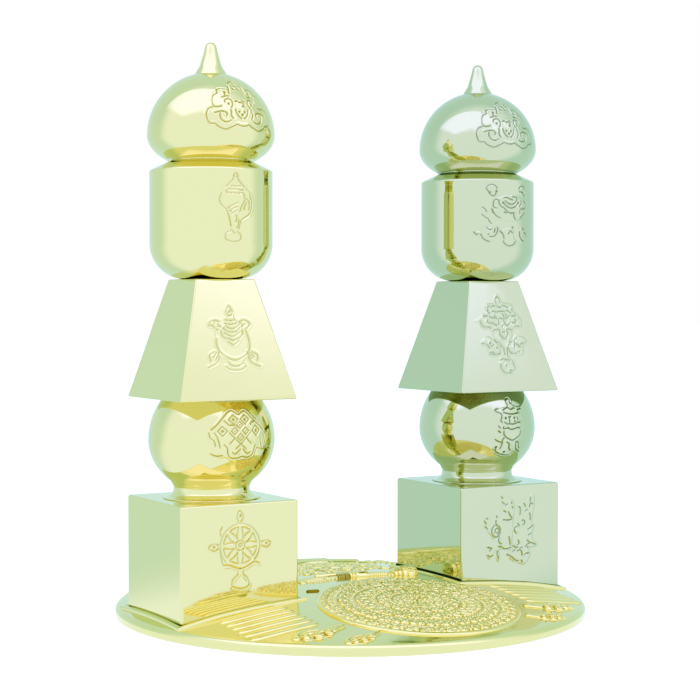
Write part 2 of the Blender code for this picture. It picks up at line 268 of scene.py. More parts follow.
def smooth(*points, step=0.3):
    """A smooth line through a few places."""
    p = np.array(points, float)
    if len(p) < 3:
        return p
    p = np.concatenate([[2 * p[0] - p[1]], p, [2 * p[-1] - p[-2]]])
    runs = []
    for a, b, c, d in zip(p[:-3], p[1:-2], p[2:-1], p[3:]):
        t = np.linspace(0, 1, max(3, int(math.dist(b, c) / step)), endpoint=False)[:, None]
        runs.append(0.5 * (2 * b + (c - a) * t + (2 * a - 5 * b + 4 * c - d) * t ** 2
                           + (3 * b - a - 3 * c + d) * t ** 3))
    return np.concatenate(runs + [[p[-2]]])


def bow(x, y, wide, tall, start, end):
    """An elliptical arc as a line to be cut, angles in degrees."""
    turn = np.radians(np.linspace(start, end, max(6, int(abs(end - start) / 12))))
    return np.stack([x + wide * np.cos(turn), y + tall * np.sin(turn)], -1)


def curl(x, y, outer, inner, start, end):
    """A scroll that winds in from its outer radius."""
    share = np.linspace(0, 1, 24)
    turn = np.radians(start + (end - start) * share)
    radius = outer + (inner - outer) * share
    return np.stack([x + radius * np.cos(turn), y + radius * np.sin(turn)], -1)


def mirrored(lines, middle=0.0):
    """The lines and their mirror images about an upright axis."""
    return list(lines) + [np.array([[2 * middle - x, y] for x, y in line]) for line in lines]


def both(dots, middle=0.0):
    """The dots and their mirror images about an upright axis."""
    return list(dots) + [(2 * middle - x, y, r) for x, y, r in dots]


def distance_to(x, y, line):
    """Distance from places to a line of points."""
    a, b = line[:-1], line[1:]
    run = b - a
    size = np.maximum((run ** 2).sum(1), 1e-9)
    share = ((x[:, None] - a[:, 0]) * run[:, 0] + (y[:, None] - a[:, 1]) * run[:, 1]) / size
    share = np.clip(share, 0, 1)
    return np.hypot(x[:, None] - a[:, 0] - share * run[:, 0], y[:, None] - a[:, 1] - share * run[:, 1]).min(1)


def inside(x, y, outline):
    """Which places lie inside a closed outline."""
    a, b = outline, np.roll(outline, -1, axis=0)
    crosses = (a[:, 1] > y[:, None]) != (b[:, 1] > y[:, None])
    rise = np.where(b[:, 1] == a[:, 1], 1e-9, b[:, 1] - a[:, 1])
    where = a[:, 0] + (y[:, None] - a[:, 1]) * (b[:, 0] - a[:, 0]) / rise
    return (crosses & (x[:, None] < where)).sum(1) % 2 == 1


def carved(u, v, motif):
    """Height of the carving, in millimetres, over a grid of places on the surface, and its painted shade, kept as the
    cut attribute, along its lines and round its pads.
    """
    lines, dots, pads, depth, painted_shade_share = motif
    x, y = u.ravel(), v.ravel()
    near = np.full(x.shape, 9.0)
    margin = 1.2
    for line in lines:
        low, high = line.min(0) - margin, line.max(0) + margin
        close = (x > low[0]) & (x < high[0]) & (y > low[1]) & (y < high[1])
        if close.any():
            near[close] = np.minimum(near[close], distance_to(x[close], y[close], line))
    for at_x, at_y, size in dots:
        near = np.minimum(near, np.maximum(np.hypot(x - at_x, y - at_y) - size, 0))
    height = np.zeros(x.shape)
    # painted shade: darker along the cut lines and dots, as shade in the grooves
    painted_shade = painted_shade_share * np.exp(-(near / PAINTED_SHADE_WIDTH) ** 2)
    for pad in pads:
        low, high = pad.min(0), pad.max(0)
        close = (x > low[0]) & (x < high[0]) & (y > low[1]) & (y < high[1])
        if close.any():
            within = inside(x[close], y[close], pad)
            edge = distance_to(x[close], y[close], np.vstack([pad, pad[:1]]))
            share = np.clip(edge * within / PAD_SHOULDER, 0, 1)
            height[close] = np.maximum(height[close], PAD_HEIGHT * share * share * (3 - 2 * share))
            # painted shade round each pad's edge
            painted_shade[close] = np.maximum(painted_shade[close], PAINTED_SHADE_AT_PAD * np.exp(-(edge / PAINTED_SHADE_WIDTH) ** 2))
    height -= depth * GROOVE_DEPTH * np.exp(-(near / GROOVE_WIDTH) ** 2)
    height += depth * LIP_HEIGHT * np.exp(-((near - LIP_PLACE) / LIP_WIDTH) ** 2)
    return height.reshape(u.shape), painted_shade.reshape(u.shape)


def extent(motif):
    """Half width and lowest and highest place of a motif, with a margin."""
    every = np.concatenate(motif[0] + motif[2])
    return np.abs(every[:, 0]).max() + 0.9, every[:, 1].min() - 0.9, every[:, 1].max() + 0.9


NO_MOTIF = ([], [], [], 0.0, 0.0)


def turned_tier(outline, centre_x, motif=NO_MOTIF, turn=0.0, middle=0.0):
    """A turned tier: an outline of (radius, height) from its underside up, carved round one place."""
    wide, low, high = extent(motif) if motif[0] else (0.0, 0.0, 0.0)
    rows, normal, along = chosen_rows(outline, middle, max(-low, high))
    reach = np.interp(middle, outline[:, 1], outline[:, 0])
    half = math.degrees(wide / max(reach, 1.0))
    angles = np.radians(spread(-180, 180, -half, half, math.degrees(FINE / max(reach, 1.0)), 3.0)[:-1])
    direction = np.stack([np.sin(angles + math.radians(turn)), -np.cos(angles + math.radians(turn))], -1)
    u = rows[:, :1] * angles
    v = np.broadcast_to(along[:, None], u.shape)
    # the carving gives its height and the painted shade along its lines
    proud, painted_shade = carved(u, v, motif) if motif[0] else (np.zeros(u.shape), np.zeros(u.shape))
    radius = rows[:, :1] + normal[:, :1] * proud
    z = rows[:, 1:] + normal[:, 1:] * proud
    x = centre_x + radius * direction[:, 0]
    y = radius * direction[:, 1]
    return np.stack([x, y, z], -1), painted_shade


def square_tier(outline, centre_x, corner, motif=NO_MOTIF, middle=0.0):
    """A four-sided tier: an outline of (half width, height) from its underside up, carved on its front."""
    wide, low, high = extent(motif) if motif[0] else (0.0, 0.0, 0.0)
    rows, normal, along = chosen_rows(outline, middle, max(-low, high))
    widest = outline[:, 0].max()
    reach = np.interp(middle, outline[:, 1], outline[:, 0])
    fine = wide / reach
    front = spread(-1, 1, -min(fine, 0.97), min(fine, 0.97), FINE / reach, 0.12)
    plain = np.array([-1, -0.99, -0.6, 0, 0.6, 0.99])
    bends = np.radians(np.linspace(0, 90, 7))
    rings = []
    shade_rings = []
    for side in range(4):
        share = np.concatenate([[-1, -0.996], front[1:-1], [0.996]]) if side == 0 else plain
        flat = np.maximum(rows[:, :1] - corner, 0.01)
        x = np.concatenate([share * flat, flat + corner * np.sin(bends)], 1)
        y = np.concatenate([-rows[:, :1] + 0 * share, -flat - corner * np.cos(bends)], 1)
        z = np.broadcast_to(rows[:, 1:], x.shape).copy()
        painted_shade = np.zeros(x.shape)
        if side == 0 and motif[0]:
            v = np.broadcast_to(along[:, None], x.shape)
            proud, painted_shade = carved(x, v, motif)
            outside = np.abs(v) > max(-low, high)
            outside[:, len(share):] = True
            proud[outside] = 0
            painted_shade[outside] = 0
            y = y - normal[:, :1] * proud
            z = z + normal[:, 1:] * proud
        # painted shade of this side, for the cut attribute
        shade_rings.append(painted_shade)
        c, s = [(1, 0), (0, 1), (-1, 0), (0, -1)][side]
        rings.append(np.stack([centre_x + c * x - s * y, s * x + c * y, z], -1))
    return np.concatenate(rings, 1), np.concatenate(shade_rings, 1)


def on_outline_edge(low, high, wide_low, wide_high, edge):
    """Outline of a four-sided tier with rounded edges along its foot and its top."""
    lean = math.atan2(wide_low - wide_high, high - low)
    foot = path([(wide_low - edge - 0.4, low)],
                arc((wide_low - edge, low + edge), (edge, edge), -90, math.degrees(lean), 0.05))
    top = arc((wide_high - edge, high - edge), (edge, edge), math.degrees(lean), 90, 0.05)
    near = 0.06
    side = straight(foot[-1], foot[-1] + (top[0] - foot[-1]) * near / 10, top[0] - (top[0] - foot[-1]) * near / 10,
                    top[0], step=0.1)
    return path(foot, side, top)


# motifs, drawn in millimetres from the middle of each place


def cloud_jewel():
    """A flaming jewel among mirrored cloud scrolls, for the domes."""
    left = [
        smooth((-3.1, 4.9), (-4.4, 5.0), (-5.4, 4.5), (-5.8, 3.2), (-6.7, 2.8), (-7.4, 1.8), (-7.8, 0.2),
               (-7.7, -0.9), (-6.8, -1.2), (-5.5, -0.9)),
        smooth((-7.9, -1.2), (-9.2, -1.8), (-10.0, -3.5), (-9.8, -5.0), (-9.2, -5.8), (-7.9, -5.9), (-7.1, -6.6),
               (-6.0, -7.1), (-5.0, -7.3), (-3.7, -6.8), (-2.5, -6.3), (-1.8, -5.9), (-1.0, -6.2), (0.0, -6.3)),
        smooth((-7.8, -2.9), (-6.8, -2.6), (-5.8, -2.4), (-4.8, -2.6), (-4.4, -3.2), (-4.6, -3.8)),
        smooth((-6.3, -2.9), (-6.4, -3.9), (-6.1, -4.8), (-5.2, -5.3), (-4.3, -5.3), (-3.5, -4.9)),
        smooth((-3.2, -1.8), (-3.2, -2.8), (-3.3, -3.6), (-2.8, -4.4)),
        smooth((-4.4, 0.3), (-4.2, 1.0), (-3.4, 1.4), (-2.6, 1.1), (-2.3, 0.2), (-2.4, -0.6), (-2.9, -1.2)),
        smooth((-3.6, 3.5), (-3.8, 2.4)),
        smooth((-4.9, 1.8), (-3.8, 2.3), (-2.7, 2.3)),
        smooth((-1.9, 6.2), (-2.1, 4.6), (-2.4, 3.2)),
        smooth((-1.5, 0.6), (-0.7, 1.0)),
        smooth((-1.9, -1.8), (-1.7, -2.8), (-1.2, -3.7), (-0.4, -4.3)),
        smooth((-1.3, 6.6), (-1.2, 7.6), (0.0, 8.3)),
    ]
    dots = both([(-3.5, -0.2, 0.15), (-3.6, 3.6, 0.2), (-0.7, 4.9, 0.2), (-0.8, -2.4, 0.15)])
    dots += [(0.0, -3.2, 0.2), (0.2, 6.2, 0.2)]
    lines = mirrored(left) + [smooth((-0.5, 0.4), (0.2, 0.5), (0.8, 0.2), (1.0, -0.4), (0.4, -0.9))]
    half = smooth((0.0, 8.8), (-1.3, 8.2), (-2.3, 6.4), (-3.1, 5.3), (-4.4, 5.3), (-5.7, 4.7), (-6.1, 3.4),
                  (-7.0, 3.0), (-7.7, 1.9), (-8.1, 0.2), (-8.1, -0.9), (-9.5, -1.6), (-10.4, -3.5), (-10.2, -5.3),
                  (-9.4, -6.2), (-8.1, -6.2), (-7.3, -6.9), (-6.1, -7.5), (-5.0, -7.7), (-3.6, -7.2),
                  (-2.4, -6.6), (-1.8, -6.3), (-1.0, -6.6), (0.0, -6.7))
    outline = np.vstack([half, (half * [-1, 1])[::-1][1:-1]])
    return lines, dots, [outline]


def conch():
    """A conch shell that stands on its tip, for the gold drum."""
    lines = [
        smooth((-2.7, 6.9), (-1.6, 7.9), (-0.7, 9.0), (-0.4, 9.9), (0.2, 10.7), (0.8, 10.0), (0.8, 9.0),
               (1.7, 8.0), (2.8, 7.0)),
        smooth((-1.2, 7.2), (0.0, 7.1), (1.7, 7.2)),
        smooth((-2.2, 6.3), (0.0, 6.3), (2.5, 6.2)),
        smooth((-2.6, 6.0), (-2.2, 5.2), (-1.7, 5.5), (-1.1, 5.2), (-0.6, 5.5), (0.0, 5.2), (0.6, 5.5), (1.1, 5.2),
               (1.7, 5.5), (2.3, 5.4), (2.7, 4.9), (2.7, 4.0)),
        smooth((-3.9, 5.2), (-4.4, 3.4), (-3.7, 2.0), (-2.5, 0.9), (-1.9, -0.5), (-1.5, -2.0), (-1.2, -3.6)),
        smooth((-2.1, 1.5), (-1.2, 1.9), (-0.2, 2.4), (0.8, 2.8)),
        smooth((-1.6, 0.6), (-0.7, 1.2), (0.5, 1.7)),
        smooth((-1.1, -0.2), (-0.4, 0.2), (0.5, 0.8)),
        smooth((3.4, 4.0), (2.5, 2.9), (1.8, 1.7), (1.3, 0.4)),
        smooth((3.4, 4.0), (4.1, 3.2), (4.3, 2.0), (4.0, 0.9)),
        smooth((3.3, 2.9), (2.8, 1.8), (2.6, 0.9)),
        smooth((4.5, 4.9), (5.1, 3.0), (4.9, 1.0), (4.1, -0.4), (2.8, -1.2), (1.7, -1.9), (1.3, -3.0), (1.1, -4.2)),
        smooth((0.1, -0.4), (0.4, -1.2), (0.1, -2.4)),
        smooth((1.0, -1.6), (0.9, -2.8), (0.4, -4.0)),
        smooth((-1.2, -4.2), (-0.7, -4.9), (0.0, -5.5)),
        smooth((-2.8, -6.8), (-1.8, -7.3), (-0.5, -7.5), (0.6, -7.3), (1.5, -6.9)),
        smooth((-2.8, -6.8), (-2.8, -5.7), (-2.2, -5.0), (-1.3, -4.8)),
        smooth((0.5, -4.9), (1.3, -5.4), (1.6, -6.2), (1.5, -6.9)),
    ]
    shell = smooth((0.2, 10.9), (-1.0, 9.2), (-3.0, 6.9), (-4.2, 5.0), (-4.6, 3.4), (-3.8, 1.9), (-2.6, 0.8),
                   (-2.0, -0.6), (-1.6, -2.0), (-1.4, -4.2), (-3.0, -5.6), (-3.0, -7.0), (-0.5, -7.8), (1.7, -7.1),
                   (1.7, -5.4), (0.9, -4.4), (1.5, -3.0), (1.9, -1.8), (3.0, -1.0), (4.3, -0.3), (5.1, 1.0),
                   (5.3, 3.0), (4.6, 5.3), (3.0, 7.0), (1.4, 9.0))
    return lines, [(0.3, 9.7, 0.12), (-1.9, 1.3, 0.1), (-1.4, 0.5, 0.1)], [shell]


def treasure_vase():
    """A covered vase with a jewel on its lid, swags and knotted ribbons, for the gold frustum."""
    lines = [
        smooth((-0.8, 9.3), (-1.1, 10.2), (-0.5, 11.3), (-0.1, 11.9), (0.4, 11.2), (0.8, 10.2), (0.4, 9.3)),
        smooth((-0.8, 9.3), (-0.2, 9.2), (0.4, 9.3)),
        smooth((-1.6, 8.05), (-0.1, 7.85), (1.3, 8.05)),
        smooth((-1.9, 7.05), (-0.1, 6.8), (1.6, 7.05)),
        smooth((-1.7, 6.3), (-0.8, 5.8), (0.0, 5.6), (1.0, 5.8), (2.0, 6.3), (2.9, 7.0)),
        smooth((-2.5, 5.8), (-1.7, 5.0), (-0.5, 4.7), (0.6, 4.7), (1.7, 5.0), (2.4, 5.8)),
        smooth((-2.4, 4.5), (-1.3, 3.9), (0.0, 3.5), (1.2, 3.9), (2.2, 4.6)),
        smooth((-3.3, 4.9), (-3.1, 3.8), (-2.3, 3.0), (-1.0, 2.8), (0.0, 2.35), (1.1, 2.7), (2.3, 3.1), (3.0, 3.9),
               (3.1, 5.2)),
        smooth((-1.5, 2.0), (-0.7, 1.4), (0.0, 1.1), (0.8, 1.5), (1.6, 2.1)),
        smooth((-5.0, 2.8), (-5.0, 1.0), (-4.5, -0.4), (-3.6, -1.5), (-2.4, -2.3), (-1.2, -2.8), (0.0, -3.0),
               (1.2, -2.8), (2.4, -2.3), (3.6, -1.5), (4.5, -0.3), (4.8, 1.2), (4.7, 3.0), (4.2, 4.8)),
        smooth((-2.3, -3.7), (-1.3, -4.4), (0.0, -4.7), (1.2, -4.5), (2.1, -4.0)),
        smooth((-3.1, -4.8), (-2.0, -5.6), (0.0, -5.9), (1.8, -5.6), (2.9, -4.9)),
        smooth((-6.6, 6.5), (-5.4, 6.4), (-4.9, 5.6), (-4.0, 5.2)),
        smooth((-3.9, 6.7), (-3.1, 6.2)),
        smooth((-6.4, 7.3), (-4.9, 7.9), (-3.4, 7.6)),
        smooth((3.0, 6.1), (3.8, 6.7)),
        smooth((2.7, 7.6), (4.0, 8.0), (5.5, 7.2), (5.2, 6.2), (4.1, 5.3)),
    ]
    ribbons = [
        smooth((-4.5, -0.9), (-5.0, -1.9), (-5.6, -2.8)),
        smooth((-5.3, -1.0), (-5.8, -1.6), (-6.3, -2.3)),
        smooth((-4.6, -2.0), (-5.2, -3.5), (-6.4, -4.3), (-8.0, -4.9)),
        smooth((-5.9, -0.8), (-7.4, -1.7), (-7.2, -3.4)),
    ]
    lines += mirrored(ribbons, -0.3)
    bowl = smooth((-0.1, 12.2), (-1.4, 10.2), (-1.2, 8.6), (-2.2, 7.0), (-3.0, 6.1), (-5.0, 6.6), (-6.9, 7.0),
                  (-5.0, 8.2), (-5.2, 5.2), (-5.3, 2.8), (-5.2, 1.0), (-4.7, -0.5), (-3.8, -1.8), (-2.5, -3.4),
                  (-3.4, -4.8), (-2.0, -5.9), (0.0, -6.2), (1.8, -5.9), (3.2, -4.8), (2.4, -3.4), (3.8, -1.7),
                  (4.8, -0.4), (5.1, 1.2), (5.0, 3.0), (4.5, 5.0), (5.8, 7.0), (4.0, 8.3), (2.6, 7.4), (1.2, 8.6),
                  (1.1, 10.2))
    return lines, [(-0.05, 10.3, 0.2), (-2.4, 5.7, 0.15), (3.3, 6.4, 0.2)], [bowl]


def diamond(x, y, half):
    """A diamond as a closed line."""
    return np.array([(x - half, y), (x, y + half), (x + half, y), (x, y - half), (x - half, y)])


def endless_knot():
    """A knot of looped bands with ribbon ends, for the gold ball."""
    middle, row, pitch = 0.45, 2.3, 1.65
    lines = [diamond(middle + dx * pitch, row + dy * pitch, 0.95) for dx, dy in ((-1, 0), (1, 0), (0, 1), (0, -1))]
    dots = [(middle + dx * pitch, row + dy * pitch, 0.05) for dx, dy in ((-1, 0), (1, 0), (0, 1), (0, -1))]
    for x, y in ((-1.25, 5.45), (2.15, 5.45), (-4.6, 2.3), (5.5, 2.3)):
        lines += [diamond(x, y, 1.35)]
        dots.append((x, y, 0.25))
    cross = 1.5
    lines += [
        np.array([(-2.7, 3.9), (-1.1, 5.5 - cross), (-0.2, 3.2)]),
        np.array([(-2.8, 1.9), (-1.2, 0.4), (0.3, -1.0), (2.1, -2.6)]),
        np.array([(3.7, 1.9), (2.1, 0.4), (0.6, -1.0), (-1.0, -2.4)]),
        np.array([(-2.8, -1.1), (-1.2, 0.4)]),
        np.array([(3.7, -1.1), (2.1, 0.4)]),
        smooth((0.3, -2.6), (-0.6, -3.5), (-1.2, -3.9), (-1.8, -3.5)),
        smooth((1.2, -2.6), (2.0, -3.5), (2.7, -3.9), (3.3, -3.5)),
        smooth((-7.8, 2.7), (-6.2, 3.9), (-4.9, 5.2), (-3.8, 6.4), (-2.6, 7.6), (-1.4, 8.1), (-0.4, 7.4), (0.45, 6.9),
               (1.3, 7.5), (2.3, 8.0), (3.4, 7.1), (4.4, 5.9), (5.6, 4.8), (7.0, 3.6), (8.5, 2.4)),
        smooth((-3.9, 5.2), (-3.0, 4.3), (-2.6, 3.9)),
        smooth((3.7, 4.1), (4.4, 4.6), (5.2, 5.0)),
        smooth((-6.8, 1.9), (-6.1, 0.6), (-5.7, -0.6), (-5.4, -2.0)),
        smooth((-8.3, 2.0), (-8.0, 0.6), (-7.0, -0.2), (-6.6, -1.6)),
        smooth((-4.3, -1.3), (-3.4, -2.2), (-3.2, -3.6), (-2.4, -4.8), (-0.8, -5.1), (1.0, -4.7), (2.6, -5.0),
               (4.0, -4.4), (4.6, -3.0), (5.0, -1.6)),
        smooth((-7.8, -3.7), (-6.2, -4.3), (-4.6, -4.2)),
        smooth((7.0, 0.4), (7.1, -1.0), (7.6, -2.2)),
        smooth((8.4, 1.0), (8.8, -0.4), (9.2, -1.4)),
    ]
    outline = smooth((-8.7, 2.4), (-5.2, 5.5), (-2.8, 8.0), (-1.4, 8.6), (0.45, 7.5), (2.3, 8.5), (3.8, 7.4),
                     (5.8, 5.3), (9.2, 2.4), (9.6, -1.2), (8.2, -3.0), (5.6, -2.6), (4.4, -5.0), (1.0, -5.6),
                     (-1.2, -5.6), (-3.2, -4.9), (-6.4, -4.7), (-8.2, -3.4), (-7.0, -1.6), (-8.6, 0.4))
    return lines, dots, [outline]


def wheel():
    """An eight-spoked wheel with jewels at its four points, on a bell-shaped foot, for the gold cube."""
    x, y = -0.2, 4.3
    lines = [bow(x, y, 5.9, 5.9, -42, 222)]
    for step in range(8):
        start = step * 45 + 9
        lines.append(bow(x, y, 4.9, 4.9, start, start + 27))
        turn = math.radians(step * 45 + 22.5)
        side = np.array([-math.sin(turn), math.cos(turn)])
        out = np.array([math.cos(turn), math.sin(turn)])
        for sign in (-1, 1):
            inner = np.array([x, y]) + out * 1.9
            outer = np.array([x, y]) + out * 4.6 + side * sign * 1.35
            lines.append(smooth(inner, (inner + outer) / 2 - side * sign * 0.25, outer))
    lines += [bow(x, y, 1.35, 1.35, 0, 360), curl(x, y, 0.7, 0.15, 0, 400)]
    for turn in (0, 90, 180):
        away = np.array([math.cos(math.radians(turn)), math.sin(math.radians(turn))])
        side = np.array([-away[1], away[0]])
        tip = np.array([x, y]) + away * 7.8
        lines.append(smooth(tip - away * 1.4 + side * 0.5, tip + side * 0.95, tip + away * 1.0 + side * 0.5,
                            tip + away * 1.4, tip + away * 1.0 - side * 0.5, tip - side * 0.95,
                            tip - away * 1.4 - side * 0.5))
    lines += [
        smooth((-6.2, 3.6), (-5.7, 1.2), (-5.1, -0.6), (-3.4, -0.8), (-1.6, -1.5), (-0.1, -1.9), (1.5, -1.5),
               (3.2, -0.7), (4.3, -0.4), (5.5, -0.8)),
        smooth((-5.4, 9.5), (-6.0, 8.4), (-5.8, 7.2)),
        smooth((-1.0, -2.2), (-0.8, -3.2), (-1.4, -3.9), (-2.3, -4.6), (-2.7, -6.0), (-2.3, -6.6), (-1.2, -7.0),
               (-0.1, -7.2), (1.2, -7.1), (2.1, -6.7), (2.5, -6.0), (2.1, -4.8), (1.2, -3.9), (0.7, -3.2), (0.9, -2.2)),
    ]
    rim = bow(x, y, 6.2, 6.2, 0, 350)
    foot = smooth((-1.2, -2.0), (-1.1, -3.4), (-2.6, -4.5), (-3.0, -6.4), (-1.2, -7.4), (1.2, -7.4), (2.8, -6.3),
                  (2.4, -4.6), (0.9, -3.4), (1.1, -2.0))
    tips = [bow(x + 7.7 * cx, y + 7.7 * cy, 1.3, 1.3, 0, 350) for cx, cy in ((1, 0), (0, 1), (-1, 0))]
    return lines, [(-7.9, 4.4, 0.25), (0.0, 12.2, 0.25), (7.7, 4.4, 0.25)], [rim, foot] + tips


def lotus():
    """An open lotus over leaves, with two small flowers above it, for the nickel drum."""
    lines = [
        smooth((-1.8, 3.7), (-2.7, 3.9), (-2.9, 4.9), (-2.6, 5.9), (-1.9, 6.2), (-1.2, 5.9)),
        smooth((-1.1, 6.1), (-1.1, 5.2), (-0.5, 4.3), (0.6, 3.7), (1.3, 3.0), (2.2, 2.5), (3.5, 2.35), (4.1, 2.5)),
        smooth((0.9, 5.9), (1.6, 5.3), (3.0, 4.9), (4.3, 5.3), (5.0, 6.1), (5.1, 6.9), (4.3, 7.1), (3.4, 7.1)),
        smooth((0.3, 5.3), (1.4, 4.3), (3.0, 3.85), (4.6, 4.3), (5.6, 5.4)),
        smooth((0.4, 6.7), (1.4, 6.8), (2.4, 6.5), (3.6, 6.2)),
        smooth((6.8, 6.1), (6.9, 5.1), (6.2, 4.4)),
        smooth((8.0, 6.1), (8.9, 5.3), (9.0, 4.2), (8.0, 3.7), (7.0, 3.7), (6.4, 3.2), (6.4, 2.3)),
        smooth((6.4, 0.9), (7.5, 1.7), (8.6, 2.6)),
        smooth((-3.3, 3.5), (-2.7, 2.3), (-1.7, 1.3), (-0.7, 0.9)),
        smooth((3.9, 2.4), (4.0, 1.3), (4.6, 0.6)),
        smooth((0.6, 2.6), (1.6, 2.3)),
        smooth((-5.0, 9.5), (-4.3, 8.5), (-3.9, 7.8), (-3.0, 7.2), (-2.2, 7.7), (-1.9, 8.8)),
        smooth((-4.8, 9.9), (-3.6, 10.5), (-2.2, 10.2), (-1.7, 9.3)),
        smooth((6.3, 8.8), (7.6, 8.4), (7.9, 7.7), (8.6, 7.7)),
        smooth((6.1, 9.4), (6.9, 10.3), (8.4, 10.0), (8.7, 9.2)),
        smooth((-6.1, 3.9), (-5.3, 3.4), (-4.8, 2.6)),
        smooth((-6.2, 1.8), (-5.2, 1.0), (-4.4, 0.6), (-3.9, -0.3), (-3.4, -0.8)),
        smooth((-4.9, -1.9), (-4.0, -2.6), (-3.2, -2.4)),
        smooth((-2.6, -3.4), (-2.4, -2.9), (-2.3, -2.2)),
        smooth((-1.6, -1.8), (-1.5, -2.8), (-2.1, -4.0), (-3.0, -4.6), (-4.0, -4.6)),
        smooth((-6.6, -3.9), (-6.0, -4.9), (-5.2, -5.6), (-4.0, -6.0)),
        smooth((-8.6, -3.2), (-7.8, -4.0), (-7.2, -3.8)),
        smooth((-0.8, -2.8), (0.0, -3.6), (0.4, -4.4), (0.5, -5.2)),
        smooth((0.2, -5.8), (0.9, -6.7), (2.4, -7.2), (3.7, -6.9), (4.4, -6.0)),
        smooth((2.0, -3.8), (2.8, -2.8), (3.4, -3.4)),
        smooth((6.3, -3.0), (6.5, -4.3), (7.3, -5.3), (8.4, -5.8)),
        smooth((7.3, -2.0), (8.6, -2.4)),
        smooth((8.2, -3.2), (9.3, -3.6), (9.0, -4.6)),
    ]
    dots = [(0.3, 5.3, 0.2), (5.6, 5.4, 0.2), (-3.8, 8.3, 0.12), (-1.9, 8.6, 0.2), (7.7, 8.4, 0.2), (3.6, -1.8, 0.12),
            (-4.3, -3.9, 0.1), (-6.5, -4.0, 0.1)]
    flower = smooth((-3.4, 4.4), (-2.8, 6.3), (-1.5, 6.7), (1.0, 7.4), (3.4, 7.6), (5.4, 7.2), (7.0, 6.8), (8.8, 6.2),
                    (9.5, 4.4), (9.0, 2.4), (6.5, 0.5), (4.0, 0.0), (1.5, 0.2), (-1.0, 0.5), (-2.6, 1.7))
    foot = smooth((-0.4, -2.6), (0.2, -5.2), (-0.2, -6.0), (0.9, -7.1), (2.4, -7.6), (3.9, -7.2), (4.8, -6.0),
                  (3.9, -4.4), (3.8, -2.4), (2.0, -1.8))
    left = smooth((-5.2, -1.4), (-3.0, -1.9), (-1.3, -1.4), (-1.2, -3.0), (-2.4, -4.9), (-4.0, -6.4), (-6.2, -5.2),
                  (-8.9, -3.4), (-7.0, -2.9))
    corner = smooth((-5.3, 9.6), (-3.4, 10.9), (-1.4, 9.6), (-1.8, 7.6), (-3.0, 6.9), (-4.3, 7.9))
    other = smooth((5.8, 9.2), (7.0, 10.7), (9.0, 9.8), (9.0, 7.6), (7.6, 7.3))
    right = smooth((6.0, -2.6), (7.4, -1.6), (9.6, -3.2), (9.4, -5.0), (8.4, -6.1), (6.6, -5.0))
    return lines, dots, [flower, foot, left, corner, other, right]


